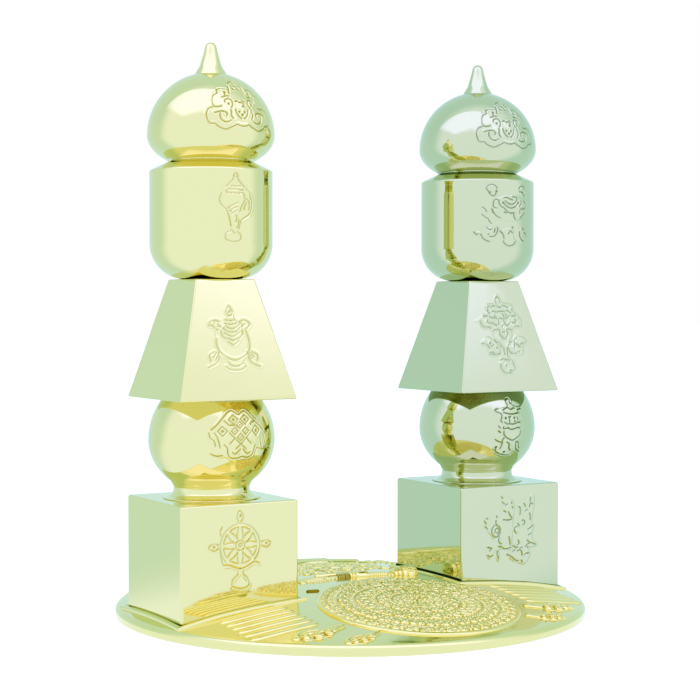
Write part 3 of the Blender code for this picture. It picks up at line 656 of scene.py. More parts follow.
def parasol():
    """A tiered parasol over a heart-shaped handle with flowers and a tassel, for the nickel frustum."""
    lines = [
        smooth((-0.6, 12.5), (-0.7, 13.4), (-0.2, 14.4), (0.3, 14.5), (0.8, 13.6), (0.9, 12.6)),
        smooth((-0.5, 11.8), (0.1, 11.3), (0.9, 11.4), (1.4, 11.8)),
        smooth((-2.6, 11.3), (-2.0, 11.7), (-1.1, 11.8)),
        smooth((-3.9, 11.4), (-3.2, 11.6)),
        smooth((1.6, 11.8), (2.4, 11.7), (3.0, 11.4)),
        smooth((3.3, 11.2), (3.7, 11.5)),
        smooth((-2.4, 10.2), (-1.2, 10.0), (0.2, 10.1), (1.2, 10.1), (2.2, 10.0)),
        smooth((2.7, 10.3), (3.4, 10.1), (4.2, 9.5)),
        smooth((-4.0, 10.7), (-4.0, 9.9), (-3.4, 9.4)),
        smooth((-5.8, 8.7), (-4.4, 8.7)),
        smooth((-3.8, 8.5), (-2.6, 8.2), (-1.6, 8.1), (-1.0, 7.9)),
        smooth((1.1, 7.8), (2.0, 7.9), (2.8, 8.2), (3.6, 8.8)),
        smooth((4.2, 8.7), (5.8, 8.7)),
        smooth((-1.9, 8.9), (-1.6, 8.2)),
        smooth((1.2, 9.3), (1.4, 8.6), (1.6, 8.2)),
        smooth((2.2, 9.2), (2.5, 8.5)),
        smooth((-4.5, 7.5), (-4.7, 6.9), (-4.0, 6.6), (-3.0, 6.6), (-2.4, 6.3), (-1.8, 5.9)),
        smooth((-0.8, 6.0), (-0.7, 6.9), (-0.4, 7.7), (0.2, 8.0), (0.8, 7.8)),
        smooth((1.2, 7.2), (1.4, 6.5), (1.6, 6.0), (2.4, 5.9), (3.0, 6.2), (3.4, 6.6)),
        smooth((0.2, 5.4), (0.8, 5.9)),
        smooth((4.2, 6.7), (5.2, 6.7), (5.7, 7.1), (5.2, 7.6)),
        smooth((-7.1, 6.4), (-6.4, 5.5), (-5.2, 5.4), (-4.2, 5.3), (-3.7, 4.8)),
        smooth((-7.4, 7.2), (-6.9, 6.6)),
        smooth((4.8, 5.4), (5.6, 5.5), (6.6, 5.5)),
        smooth((-3.0, 4.2), (-2.2, 4.6), (-1.3, 4.6), (-0.6, 4.4)),
        smooth((3.4, 4.5), (2.4, 4.7), (1.8, 4.5), (1.9, 3.2), (1.4, 2.2), (0.5, 1.8), (-0.4, 2.1)),
        smooth((0.0, 3.8), (1.0, 3.9)),
        smooth((-0.8, 3.8), (-0.9, 3.0), (-0.3, 2.5), (0.3, 2.4)),
        smooth((-3.1, 1.5), (-2.6, 0.9), (-1.6, 0.6), (-1.3, 0.2), (-1.0, -0.5), (-0.4, -0.9)),
        smooth((2.2, 0.8), (3.0, 0.8)),
        smooth((-0.3, -1.0), (-0.3, -2.0), (-0.2, -3.2)),
        smooth((0.9, -1.0), (0.9, -2.2), (0.8, -3.4)),
        smooth((1.9, 0.0), (1.4, -0.8), (1.6, -1.7), (2.3, -2.5), (3.4, -2.8), (4.2, -2.6)),
        smooth((5.2, 2.2), (4.2, 1.4), (3.8, 0.6), (3.8, -0.4), (3.5, -1.1)),
        smooth((3.9, 0.2), (4.9, 0.1)),
        smooth((5.1, -0.3), (5.8, -0.9)),
        smooth((4.6, -2.3), (5.3, -2.1)),
        smooth((6.0, 0.1), (7.4, 0.5)),
        smooth((-7.6, 0.5), (-6.4, 0.1), (-5.6, -0.4), (-5.3, -1.1)),
        smooth((-4.6, -0.4), (-3.6, 0.0)),
        smooth((-2.8, -0.9), (-2.2, -0.8)),
        smooth((-5.3, -2.3), (-4.6, -2.2), (-3.8, -2.5)),
        smooth((-5.4, -2.7), (-4.2, -2.9), (-3.0, -2.8), (-1.6, -2.6)),
        smooth((-1.8, -4.5), (-1.0, -4.2), (0.0, -4.6), (0.6, -4.4), (1.1, -4.9)),
        smooth((-2.2, -7.0), (-1.6, -8.0), (-0.6, -8.6), (0.4, -8.5), (1.4, -8.4), (2.3, -7.6)),
        smooth((-2.2, -5.8), (-2.3, -7.0)),
        smooth((2.3, -5.2), (2.5, -6.6)),
    ]
    dots = [(4.8, 10.6, 0.15), (-4.8, 0.5, 0.2), (5.3, -0.4, 0.15), (1.0, -7.8, 0.2), (-1.7, 5.9, 0.15),
            (-0.2, -6.3, 0.1), (2.9, 10.3, 0.1)]
    canopy = smooth((0.1, 15.0), (-1.2, 12.8), (-4.6, 12.2), (-5.0, 10.0), (-6.6, 9.0), (-7.8, 7.4), (-7.0, 5.2),
                    (-4.0, 4.6), (-3.4, 2.2), (-2.2, 0.6), (-0.9, -1.0), (-0.8, -3.8), (-2.6, -5.4), (-2.5, -7.8),
                    (-0.6, -9.0), (1.4, -8.8), (2.7, -7.4), (2.6, -5.2), (1.2, -3.8), (1.3, -1.2), (2.2, 1.0),
                    (3.4, 2.4), (4.0, 4.8), (7.0, 5.2), (7.6, 7.2), (6.4, 9.0), (5.3, 10.0), (4.8, 12.2), (1.4, 12.8))
    left = smooth((-8.0, 0.9), (-6.8, 2.2), (-4.8, 2.4), (-2.4, 0.4), (-1.6, -1.4), (-2.2, -3.0), (-4.2, -3.4),
                  (-6.0, -2.8), (-6.2, -0.8))
    return lines, dots, [canopy, left, left * [-1, 1] + [0.6, 0.0]]


def banner():
    """A tall banner: a domed roof with a point, pleated tiers, an apron and ribbons, for the nickel ball."""
    lines = [
        smooth((0.3, 7.2), (0.3, 8.2), (1.0, 8.9), (1.7, 8.2), (1.6, 7.2)),
        smooth((0.3, 7.2), (0.6, 6.6), (0.2, 6.0), (-0.6, 5.6), (-1.3, 5.1)),
        smooth((0.2, 6.0), (0.9, 5.6), (1.6, 5.3), (2.6, 5.8), (3.0, 5.6)),
        smooth((3.9, 5.0), (4.6, 5.3), (5.6, 5.6)),
        smooth((-3.0, 5.6), (-3.7, 5.4), (-3.8, 4.9), (-3.0, 4.4), (-2.2, 4.1), (-1.9, 3.5)),
        smooth((-1.2, 4.4), (0.4, 4.0), (1.6, 3.9), (3.0, 4.0), (4.3, 4.3)),
        smooth((-2.0, 3.2), (-2.1, 2.6), (-2.4, 2.0), (-2.0, 1.4)),
        smooth((-1.2, 1.5), (-0.4, 1.0), (0.6, 1.0), (1.8, 0.9), (2.8, 1.1), (3.8, 1.4), (4.6, 1.3)),
        smooth((0.5, 2.6), (0.5, 1.3)),
        smooth((0.3, 3.0), (1.1, 3.1)),
        smooth((3.5, 2.9), (3.7, 2.0)),
        smooth((-1.6, 0.2), (-1.6, -0.4), (-0.2, -0.2), (0.8, -0.6), (2.2, -0.5), (3.2, -0.2), (4.4, -0.3)),
        smooth((-1.5, -1.1), (-1.5, -2.0), (-0.9, -2.8), (0.2, -3.4), (1.6, -3.9), (2.8, -3.4), (3.9, -2.7),
               (4.5, -1.9), (4.5, -1.2)),
        smooth((-4.2, -3.5), (-3.2, -4.1), (-2.0, -4.5)),
        smooth((-1.4, -3.0), (-1.9, -3.9), (-1.8, -5.0), (-2.2, -6.4)),
        smooth((-0.3, -4.4), (0.6, -5.0), (0.7, -6.2), (1.5, -7.2)),
        smooth((3.0, -4.3), (3.1, -5.4), (3.6, -6.8), (5.2, -7.8)),
        smooth((3.4, -4.4), (4.1, -4.8), (4.5, -6.0), (4.9, -6.6)),
        smooth((-3.6, -6.0), (-3.5, -7.2), (-2.4, -8.0), (-0.6, -8.6), (1.2, -8.7), (2.0, -8.3)),
        smooth((-3.2, 0.4), (-2.6, -0.2)),
        smooth((-3.3, -1.0), (-2.6, -1.5)),
    ]
    dots = [(-0.7, 2.7, 0.2), (0.8, 3.0, 0.15), (2.4, 2.7, 0.2), (2.5, 1.7, 0.12), (-3.5, -6.0, 0.18), (-0.6, -7.6, 0.2),
            (-0.1, -0.2, 0.15)]
    body = smooth((1.0, 9.4), (-0.2, 8.0), (-0.2, 6.4), (-2.0, 5.8), (-4.2, 5.6), (-4.0, 4.4), (-2.4, 3.6), (-2.9, 2.0),
                  (-2.0, 0.8), (-3.6, -0.4), (-2.2, -2.4), (-4.4, -3.4), (-2.5, -4.8), (-2.8, -6.0), (-4.1, -6.2),
                  (-3.6, -8.0), (-0.6, -9.1), (1.6, -9.0), (2.6, -7.6), (5.6, -8.0), (5.0, -5.6), (4.2, -3.4),
                  (5.0, -2.0), (4.8, 0.2), (5.0, 1.6), (4.2, 2.4), (4.9, 4.6), (5.9, 5.9), (3.2, 6.2), (2.1, 7.0),
                  (2.1, 8.4))
    return lines, dots, [body]


def fish_pair():
    """Two fish with round eyes that curl among waves, for the nickel cube."""
    lines = [
        bow(-5.4, 2.4, 1.55, 1.75, 75, 395),
        bow(-5.0, 2.3, 0.75, 0.95, -60, 200),
        smooth((-5.4, 5.5), (-5.3, 4.3), (-4.8, 3.9), (-4.2, 3.6)),
        smooth((-5.2, 6.9), (-5.0, 6.4)),
        smooth((-9.6, 5.6), (-9.1, 5.0), (-8.9, 4.7)),
        smooth((-9.3, 4.0), (-8.5, 3.2)),
        smooth((-8.9, 6.4), (-8.4, 6.2)),
        smooth((-4.3, 0.6), (-4.4, -0.8), (-3.5, -1.4)),
        smooth((-4.6, -2.1), (-3.4, -2.3), (-2.6, -2.9), (-1.2, -3.0), (0.0, -2.7)),
        smooth((-0.8, 0.5), (-0.5, -0.8), (-0.3, -1.9)),
        smooth((-4.9, -3.5), (-4.9, -4.8), (-4.5, -5.8)),
        smooth((-8.5, -2.1), (-7.6, -2.3), (-6.9, -2.6)),
        smooth((-8.4, -4.5), (-7.6, -4.9), (-6.6, -4.7)),
        smooth((-7.7, -3.2), (-7.0, -2.6)),
        smooth((-3.6, 12.4), (-3.0, 11.8)),
        smooth((-3.2, 10.8), (-2.4, 10.2)),
        smooth((-2.0, 9.8), (-1.3, 10.1)),
        smooth((0.1, 10.6), (0.3, 10.2)),
        smooth((0.3, 9.3), (0.7, 8.8)),
        smooth((-2.7, 8.3), (-1.9, 7.8)),
        smooth((-1.0, 7.8), (-0.5, 6.9), (0.3, 5.7), (-0.8, 5.4), (-2.8, 5.6)),
        smooth((2.6, 9.1), (3.2, 8.9), (3.3, 7.8), (3.2, 6.8)),
        smooth((4.6, 10.0), (4.9, 9.5), (5.2, 9.0)),
        smooth((5.2, 7.7), (5.8, 8.0)),
        smooth((7.0, 11.6), (6.9, 10.5)),
        smooth((6.6, 8.8), (7.0, 9.9), (7.9, 9.6)),
        smooth((6.6, 7.0), (6.9, 6.2), (6.9, 5.0)),
        bow(4.3, 4.4, 0.6, 0.7, -90, 130),
        smooth((2.4, 4.2), (2.9, 3.4)),
        smooth((2.2, 3.3), (1.2, 2.9), (1.3, 2.0), (1.9, 1.3)),
        smooth((6.1, 2.2), (7.1, 2.7), (7.8, 3.4)),
        smooth((6.3, 0.5), (7.2, 0.9)),
        smooth((2.5, -0.7), (2.9, -1.7), (2.2, -2.1)),
        smooth((0.8, -2.3), (1.6, -2.8), (2.4, -2.9)),
        smooth((5.2, -2.8), (6.0, -2.1), (7.0, -1.9)),
        smooth((5.8, -0.9), (6.6, -1.6), (7.6, -1.9), (8.9, -2.4)),
        smooth((3.2, -3.2), (4.0, -2.9)),
        smooth((0.5, -4.0), (1.4, -3.5)),
        smooth((2.2, -3.9), (3.3, -3.7), (3.8, -4.4), (4.0, -5.3)),
        smooth((-1.4, -4.7), (-0.3, -5.2), (0.8, -6.0), (1.8, -6.7), (2.6, -6.8)),
        smooth((3.6, -6.7), (4.1, -7.4)),
        smooth((4.9, -5.2), (5.6, -4.8), (6.4, -4.8)),
    ]
    dots = [(-5.0, 1.9, 0.1), (6.0, -3.0, 0.1), (-0.8, 5.5, 0.05)]
    left = smooth((-6.0, 7.2), (-4.4, 7.6), (-3.2, 10.0), (-3.9, 12.8), (-1.6, 12.4), (0.8, 11.0), (1.2, 8.6),
                  (0.8, 5.4), (0.6, 2.0), (0.3, -1.6), (0.4, -3.2), (-1.4, -3.5), (-4.0, -2.9), (-4.3, -6.2),
                  (-5.4, -5.8), (-5.2, -3.0), (-7.6, -5.4), (-9.0, -4.2), (-9.0, -1.6), (-6.6, -0.8), (-7.4, 1.2),
                  (-8.6, 2.6), (-10.2, 4.6), (-9.2, 7.0), (-7.2, 6.0))
    right = smooth((2.0, 9.8), (4.2, 10.8), (6.2, 12.2), (8.4, 12.2), (8.2, 8.0), (7.4, 4.6), (8.4, 3.4), (7.6, 0.2),
                   (9.4, -2.6), (6.4, -3.4), (7.0, -5.2), (4.9, -7.9), (2.2, -7.3), (-1.0, -5.6), (0.6, -3.2),
                   (0.6, 0.4), (0.6, 3.2), (2.4, 5.4), (2.4, 7.2))
    return lines, dots, [left, right]


# where each tier's motif sits: degrees round from the front, and height above the seat's floor; then the share
# of the full depth that it is cut to, and of the full painted shade along its lines
MOTIFS = {
    "gold": {
        "dome": (cloud_jewel(), 3.8, 137.0, 1.0, 1.0),
        "drum": (conch(), -3.5, 108.0, 0.9, 0.55),
        "frustum": (treasure_vase(), 0.0, 72.0, 0.8, 0.5),
        "ball": (endless_knot(), -0.8, 48.0, 1.0, 0.85),
        "cube": (wheel(), 0.0, 15.5, 0.75, 0.5),
    },
    "nickel": {
        "dome": (cloud_jewel(), -2.3, 136.4, 1.0, 0.75),
        "drum": (lotus(), -9.2, 108.0, 1.0, 0.8),
        "frustum": (parasol(), 0.0, 72.0, 0.8, 0.45),
        "ball": (banner(), -2.8, 48.0, 1.0, 1.0),
        "cube": (fish_pair(), 0.0, 15.5, 1.0, 0.7),
    },
}


# tiers of a stupa

FOOT_FLARE = (2.7, 2.1)
FOOT_LIP = 0.3
FOOT_SPREAD = 0.7
BALL_WAIST = 12.9
BALL_RISE = 18.0
BALL_FALL = 14.9
NECK = 10.5
DRUM_FLAT = 7.2
DRUM_ROUND = 9.3
DRUM_EDGE = 0.7
DRUM_CHAMFER = 2.0
DRUM_CROWN = 11.3
COLLAR_GAP = 0.6
DOME_WAIST = 6.4
DOME_FALL = 9.4
DOME_HEIGHT = 17.15
DOME_FLAT = 12.3


def stupa(metal_name, metal, slot):
    """All eight pieces of one stupa."""
    motifs = MOTIFS[metal_name]
    floor = box_mm(metal_name + "_cube")[0][2]
    centre = (box_mm(metal_name + "_cube")[0][0] + box_mm(metal_name + "_cube")[1][0]) / 2

    def place(tier):
        motif, turn, height, depth, painted_shade_share = motifs[tier]
        return (*motif, depth, painted_shade_share), turn, floor + height

    def keep(tier, shape):
        name = metal_name + "_" + tier
        rows, cut = shape
        if tier in ("frustum", "drum", "dome"):
            cut = cut.copy()
            # painted shade: the underside ring takes the darker tone, for the shade under the tier
            cut[0] = PAINTED_UNDERSIDE_SHADE[metal_name]
        corners, faces = skin(rows)
        finish_piece("polished_" + name, mesh_of(name, corners, faces, cut=cut), metal, slot, name)

    low, high = box_mm(metal_name + "_cube")
    half = (high[0] - low[0]) / 2
    motif, turn, height = place("cube")
    keep("cube", square_tier(on_outline_edge(low[2], high[2], half, half, 0.6), centre, 0.7, motif, height))

    low, high = box_mm(metal_name + "_ball_foot")
    wide = (high[0] - low[0]) / 2 + FOOT_SPREAD
    bottom = box_mm(metal_name + "_cube")[1][2] + 0.02
    flare = (NECK + FOOT_FLARE[0], bottom + FOOT_LIP + FOOT_FLARE[1])
    foot = path(
        [(wide - 0.05, bottom)],
        arc((wide - FOOT_LIP / 2, bottom + FOOT_LIP / 2), (FOOT_LIP / 2, FOOT_LIP / 2), -60, 80, 0.02),
        arc(flare, FOOT_FLARE, -90, -180),
        [(NECK, high[2] - 0.02)],
    )
    keep("ball_foot", turned_tier(foot, centre))

    low, high = box_mm(metal_name + "_ball")
    wide = (high[0] - low[0]) / 2
    waist = low[2] + BALL_WAIST
    motif, turn, height = place("ball")
    bottom = -math.degrees(math.acos((NECK + 0.7) / wide))
    top = math.degrees(math.asin((high[2] - waist) / BALL_RISE))
    ball = path(
        smooth((NECK, low[2] - 0.32), (NECK, low[2] + 0.1), (NECK + 0.15, low[2] + 0.55), (NECK + 0.45, low[2] + 0.95),
               step=0.05),
        arc((0, waist), (wide, BALL_FALL), bottom, 0),
        arc((0, waist), (wide, BALL_RISE), 0, top),
    )
    keep("ball", turned_tier(ball, centre, motif, turn, height))

    low, high = box_mm(metal_name + "_frustum")
    motif, turn, height = place("frustum")
    wide = (high[0] - low[0]) / 2
    narrow = 8.9
    keep("frustum", square_tier(on_outline_edge(low[2], high[2], wide, narrow, 0.35), centre, 0.4, motif, height))

    low, high = box_mm(metal_name + "_drum")
    wide = (high[0] - low[0]) / 2
    motif, turn, height = place("drum")
    bottom = box_mm(metal_name + "_frustum")[1][2] + 0.02
    shoulder = high[2] - DRUM_CHAMFER
    top = box_mm(metal_name + "_dome")[0][2] - COLLAR_GAP
    corner = (wide - DRUM_EDGE, shoulder - DRUM_EDGE)
    slope = math.degrees(math.atan2(wide - DRUM_CROWN, top - shoulder))
    drum = path(
        [(DRUM_FLAT - 0.4, bottom)],
        arc((DRUM_FLAT, low[2] + DRUM_ROUND), (wide - DRUM_FLAT, low[2] + DRUM_ROUND - bottom), -90, 0),
        straight((wide, low[2] + DRUM_ROUND), (wide, corner[1])),
        arc(corner, (DRUM_EDGE, DRUM_EDGE), 0, slope, 0.03),
        straight((DRUM_CROWN + 0.25, top - 0.12), (DRUM_CROWN + 0.1, top - 0.03)),
        [(DRUM_CROWN, top)],
    )
    keep("drum", turned_tier(drum, centre, motif, turn, height))

    low, high = box_mm(metal_name + "_drum_collar")
    wide = (high[0] - low[0]) / 2
    collar = straight((wide, low[2]), (wide, high[2] + 0.28), step=0.3)
    keep("drum_collar", turned_tier(collar, centre))

    low, high = box_mm(metal_name + "_dome")
    wide = (high[0] - low[0]) / 2
    waist = low[2] + DOME_WAIST
    motif, turn, height = place("dome")
    neck = 3.7
    cap = math.degrees(math.acos(neck / wide))
    under = -math.degrees(math.acos(DOME_FLAT / wide))
    dome = path(
        [(DOME_FLAT - 0.4, low[2])],
        arc((0, waist), (wide, DOME_FALL), under, 0),
        arc((0, waist), (wide, DOME_HEIGHT), 0, cap),
    )
    keep("dome", turned_tier(dome, centre, motif, turn, height))

    tip = box_mm(metal_name + "_finial")[1][2]
    spread_foot = neck + 0.75
    seat = waist + DOME_HEIGHT * math.sin(math.acos(spread_foot / wide))
    finial = path(
        smooth((spread_foot, seat - 0.05), (3.75, tip - 7.65), (3.0, tip - 6.4), (2.47, tip - 4.8), (2.04, tip - 3.3),
               (1.7, tip - 1.9), step=0.1),
        arc((0, tip - 1.5), (1.58, 1.5), 12, 89),
    )
    keep("finial", turned_tier(finial, centre))


# base


def dome_height(x, y, lift=0.0):
    """Height of the base's domed top at a place, or of a sphere that stands proud of it."""
    sphere = DOME_SPHERE + lift
    return RIM_HEIGHT + DOME_RISE - DOME_SPHERE + np.sqrt(sphere ** 2 - np.hypot(x, y) ** 2)


def base_plate():
    """The round base: a low polished dome with an upright rim, and two wells for the seats."""
    inside_rim = BASE_RADIUS - RIM_ROUND
    lean = math.degrees(math.asin(inside_rim / DOME_SPHERE))
    radii = np.linspace(0.4, inside_rim + RIM_ROUND * math.sin(math.radians(lean)), 40)
    top = np.stack([radii, dome_height(radii, 0)], -1)[::-1]
    round_middle = top[0][1] - RIM_ROUND * math.cos(math.radians(lean))
    edge = arc((inside_rim, round_middle), (RIM_ROUND, RIM_ROUND), 90 - lean, 0, 0.2)[::-1]
    side = straight((BASE_RADIUS - 0.4, 0.0), (BASE_RADIUS, 0.4), (BASE_RADIUS, edge[0][1]), step=0.6)
    outline = path([(0.4, 0.0)], side, edge, top)
    turn = np.radians(np.linspace(0, 360, 256, endpoint=False))
    rows = np.stack([outline[:, :1] * np.cos(turn), outline[:, :1] * np.sin(turn),
                     np.broadcast_to(outline[:, 1:], (len(outline), len(turn)))], -1)
    corners, faces = skin(rows)
    mesh = mesh_of("base_plate", corners, faces)
    plate = bpy.data.objects.new("base_plate_blank", mesh)
    scene.collection.objects.link(plate)
    cutters = []
    for name in ("gold", "nickel"):
        low, high = box_mm(name + "_cube")
        half = SEAT_WIDTH / 2 - 0.5
        middle = (low[0] + high[0]) / 2
        x, y = np.meshgrid([middle - half, middle + half], [-half, half])
        flat = np.stack([x.ravel(), y.ravel()], -1)[[0, 1, 3, 2]]
        both_ends = np.stack([np.column_stack([flat, np.full(4, z)]) for z in (WELL_FLOOR, 14.0)])
        spots, sides = skin(both_ends)
        cutter = bpy.data.objects.new(name + "_well", mesh_of(name + "_well", spots, sides))
        scene.collection.objects.link(cutter)
        cutters.append(cutter)
        cut = plate.modifiers.new(name, "BOOLEAN")
        cut.operation = "DIFFERENCE"
        cut.solver = "EXACT"
        cut.object = cutter
    ready = plate.evaluated_get(bpy.context.evaluated_depsgraph_get())
    result = bpy.data.meshes.new_from_object(ready)
    for spare in [plate] + cutters:
        bpy.data.objects.remove(spare)
    result.shade_smooth()
    result.set_sharp_from_angle(angle=math.radians(40))
    finish_piece("base_plate", result, SATIN, "gold_plate", "base")


def seat_frame(name):
    """The square frame that stands round a cube's well, its top following the dome."""
    low, high = box_mm(name + "_cube")
    middle = (low[0] + high[0]) / 2
    outer = SEAT_WIDTH / 2
    inner = (high[0] - low[0]) / 2 + WELL_GAP
    bevel, painted_shade = BEVELS_AND_SHADES[name]
    soft = 0.3
    section = [(outer, 0, -1.2), (outer, 1, -soft)]
    section += [(outer - soft + soft * math.sin(t), 1, -soft + soft * math.cos(t)) for t in np.radians([60, 30, 0])]
    section += [(inner + bevel, 1, 0), (inner + bevel - 0.03, 1, -0.02), (inner, 1, -bevel), (inner, 0, -1.2)]
    rings = []
    shares = np.linspace(-1, 1, 41)[:-1]
    for reach, share, drop in section:
        ring = []
        for c, s in ((1, 0), (0, 1), (-1, 0), (0, -1)):
            x, y = shares * reach, np.full(40, -reach)
            ring.append(np.stack([middle + c * x - s * y, s * x + c * y], -1))
        ring = np.concatenate(ring)
        lift = np.interp(np.hypot(*ring.T), *SEAT_LIFTS) * share + drop
        z = dome_height(ring[:, 0], ring[:, 1]) + lift
        rings.append(np.column_stack([ring, z if share else np.minimum(z, WELL_FLOOR - 0.3)]))
    corners, faces = ring_skin(np.array(rings)[::-1])
    # painted shadow: the frame's inner bevel, next to the cube, takes the darker tone, for the shadow gap between frame
    # and cube
    dull = np.repeat([painted_shade * (reach < inner + bevel) for reach, _, _ in section][::-1], 160)
    finish_piece("seat_frame_" + name, mesh_of("seat_" + name, corners, faces, 30, dull), SATIN, "gold_plate")


def seat_shadow_strip(name):
    """A dark strip of painted shadow round a cube's foot, for the shadow gap there, highest on the side toward the
    middle of the base.
    """
    low, high = box_mm(name + "_cube")
    middle = (low[0] + high[0]) / 2
    inner = (high[0] - low[0]) / 2 - 0.1
    outer = inner + 0.22
    shares = np.linspace(-1, 1, 41)[:-1]
    rings = []
    for reach, lip in ((inner, None), (inner, 1.1), (outer - 0.06, 1.1), (outer, 1.0), (outer, None)):
        ring = []
        lips = []
        for (c, s), high_lip in zip(((1, 0), (0, 1), (-1, 0), (0, -1)), SHADOW_STRIP_LIPS):
            x, y = shares * reach, np.full(40, -reach)
            ring.append(np.stack([middle + c * x - s * y, s * x + c * y], -1))
            lips.append(np.full(40, high_lip))
        ring = np.concatenate(ring)
        lift = np.interp(np.hypot(*ring.T), *SEAT_LIFTS) + np.concatenate(lips) * (lip or 0)
        z = dome_height(ring[:, 0], ring[:, 1]) + lift
        rings.append(np.column_stack([ring, z if lip else np.full(160, WELL_FLOOR + 0.05)]))
    corners, faces = ring_skin(np.array(rings))
    finish_piece("seat_shadow_strip_" + name, mesh_of("joint_" + name, corners, faces, 40), SHADOW_STRIP, "gold_plate")


# relief on the base: strokes are drawn flat in millimetres, each with its thickness, and Geometry Nodes
# sweep them into round bars and lay them on the dome


def stroke(*places, thick=0.4, ends=1.0, step=0.35):
    """A smooth line with its half thickness at each place; ends is the share of it that the two tips keep."""
    line = smooth(*places, step=step)
    size = np.full(len(line), float(thick))
    if ends != 1.0:
        run = np.concatenate([[0.0], np.cumsum(np.hypot(*np.diff(line, axis=0).T))])
        inward = np.minimum(run, run[-1] - run) / max(thick, 0.2)
        size *= ends + (1 - ends) * np.sqrt(np.clip(1 - (1 - np.clip(inward, 0, 1)) ** 2, 0, 1))
    return np.column_stack([line, size])


def turned_bar(*profile, step=0.12):
    """A straight bar along x that swells and narrows, from places of (x, half thickness)."""
    given = np.array(profile, float)
    x = np.unique(np.concatenate([np.arange(given[0, 0], given[-1, 0], step), given[:, 0]]))
    return np.column_stack([x, np.zeros(len(x)), np.interp(x, given[:, 0], given[:, 1])])


def grain(x, y, size, count=5):
    """A round grain, as a very short bar that swells and narrows."""
    turn = np.linspace(math.pi * 0.93, math.pi * 0.07, count)
    return np.column_stack([x + size * np.cos(turn), np.full(count, y), size * np.sin(turn)])


def scroll(x, y, wide, thick, start, turns=1.25, points=13):
    """A curl that winds outward from its middle, turned to start at an angle in degrees."""
    share = np.linspace(0, 1, points)
    turn = math.radians(start) + math.tau * turns * share
    radius = wide * (0.2 + 0.8 * share)
    return np.column_stack([x + radius * np.cos(turn), y + radius * np.sin(turn), thick * (1 - 0.35 * share ** 3)])


def moved(strokes, x=0.0, y=0.0, turn=0.0, scale=1.0, flip_x=False, flip_y=False):
    """Strokes turned and scaled, set down at a place, and mirrored there if asked."""
    c, s = math.cos(math.radians(turn)) * scale, math.sin(math.radians(turn)) * scale
    done = []
    for line in strokes:
        at_x = x + c * line[:, 0] - s * line[:, 1]
        at_y = y + s * line[:, 0] + c * line[:, 1]
        done.append(np.column_stack([-at_x if flip_x else at_x, -at_y if flip_y else at_y, line[:, 2] * scale,
                                     line[:, 3:]]))
    return done


def shaded_and_dulled(strokes, amount=0.8):
    """Strokes with a cut value on each point: painted shade, a darker tone, and duller roughness."""
    return [np.column_stack([line, np.full(len(line), amount)]) for line in strokes]


def line_mesh(name, strokes):
    """Loose lines with their half thickness, and their cut value (painted shade and dullness), kept on the points."""
    mesh = bpy.data.meshes.new(name)
    strokes = [line if line.shape[1] == 4 else shaded_and_dulled([line], 0.0)[0] for line in strokes]
    points = np.concatenate(strokes)
    edges = []
    first = 0
    for line in strokes:
        edges += [(i, i + 1) for i in range(first, first + len(line) - 1)]
        first += len(line)
    mesh.from_pydata(np.column_stack([points[:, :2], np.zeros(len(points))]) * MM, edges, [])
    mesh.attributes.new("thick", "FLOAT", "POINT").data.foreach_set("value", points[:, 2] * MM)
    mesh.attributes.new("cut", "FLOAT", "POINT").data.foreach_set("value", np.ascontiguousarray(points[:, 3]))
    return mesh


def new_tree(name, sizes):
    """A Geometry Nodes tree with a geometry input and output, and a named input for each size."""
    tree = bpy.data.node_groups.new(name, "GeometryNodeTree")
    tree.interface.new_socket("Geometry", in_out="INPUT", socket_type="NodeSocketGeometry")
    for label, value in sizes.items():
        kind = "NodeSocketInt" if isinstance(value, int) else "NodeSocketFloat"
        tree.interface.new_socket(label, in_out="INPUT", socket_type=kind).default_value = value
    tree.interface.new_socket("Geometry", in_out="OUTPUT", socket_type="NodeSocketGeometry")
    return tree, tree.nodes.new("NodeGroupInput").outputs


def maths(tree, operation, *values):
    """A math node's result."""
    return add_node(tree, "ShaderNodeMath", dict(enumerate(values)), operation=operation).outputs[0]


def swept(tree, sizes):
    """Sweep a round section along lines, as thick as their points say."""
    lines = add_node(tree, "GeometryNodeMeshToCurve", {"Mesh": sizes["Geometry"]})
    thick = add_node(tree, "GeometryNodeInputNamedAttribute", {"Name": "thick"}, data_type="FLOAT")
    section = add_node(tree, "GeometryNodeCurvePrimitiveCircle", {"Resolution": sizes["Sides"], "Radius": 1.0})
    return add_node(tree, "GeometryNodeCurveToMesh", {
        "Curve": lines.outputs[0], "Profile Curve": section.outputs[0], "Scale": thick.outputs[0], "Fill Caps": True,
    }).outputs[0]


def laid_down(tree, shape, sizes):
    """Last nodes of a relief tree: give the shape its height, lay it on the dome, and give it its metal."""
    place = tree.nodes.new("GeometryNodeInputPosition").outputs[0]
    split = add_node(tree, "ShaderNodeSeparateXYZ", {0: place}).outputs
    reach = maths(tree, "ADD", maths(tree, "MULTIPLY", split[0], split[0]), maths(tree, "MULTIPLY", split[1], split[1]))
    dome = maths(tree, "SQRT", maths(tree, "SUBTRACT", (DOME_SPHERE * MM) ** 2, reach))
    ground = maths(tree, "ADD", maths(tree, "ADD", dome, (RIM_HEIGHT + DOME_RISE - DOME_SPHERE) * MM), sizes["Lift"])
    height = maths(tree, "MULTIPLY_ADD", split[2], sizes["Height"], ground)
    lowered = add_node(tree, "ShaderNodeCombineXYZ", {0: split[0], 1: split[1], 2: height})
    laid = add_node(tree, "GeometryNodeSetPosition", {"Geometry": shape, "Position": lowered.outputs[0]})
    rounded = add_node(tree, "GeometryNodeSetShadeSmooth", {"Geometry": laid.outputs[0]})
    plain = add_node(tree, "GeometryNodeRealizeInstances", {"Geometry": rounded.outputs[0]})
    finished = add_node(tree, "GeometryNodeSetMaterial", {"Geometry": plain.outputs[0], "Material": RELIEF})
    add_node(tree, "NodeGroupOutput", {0: finished.outputs[0]})
    return tree


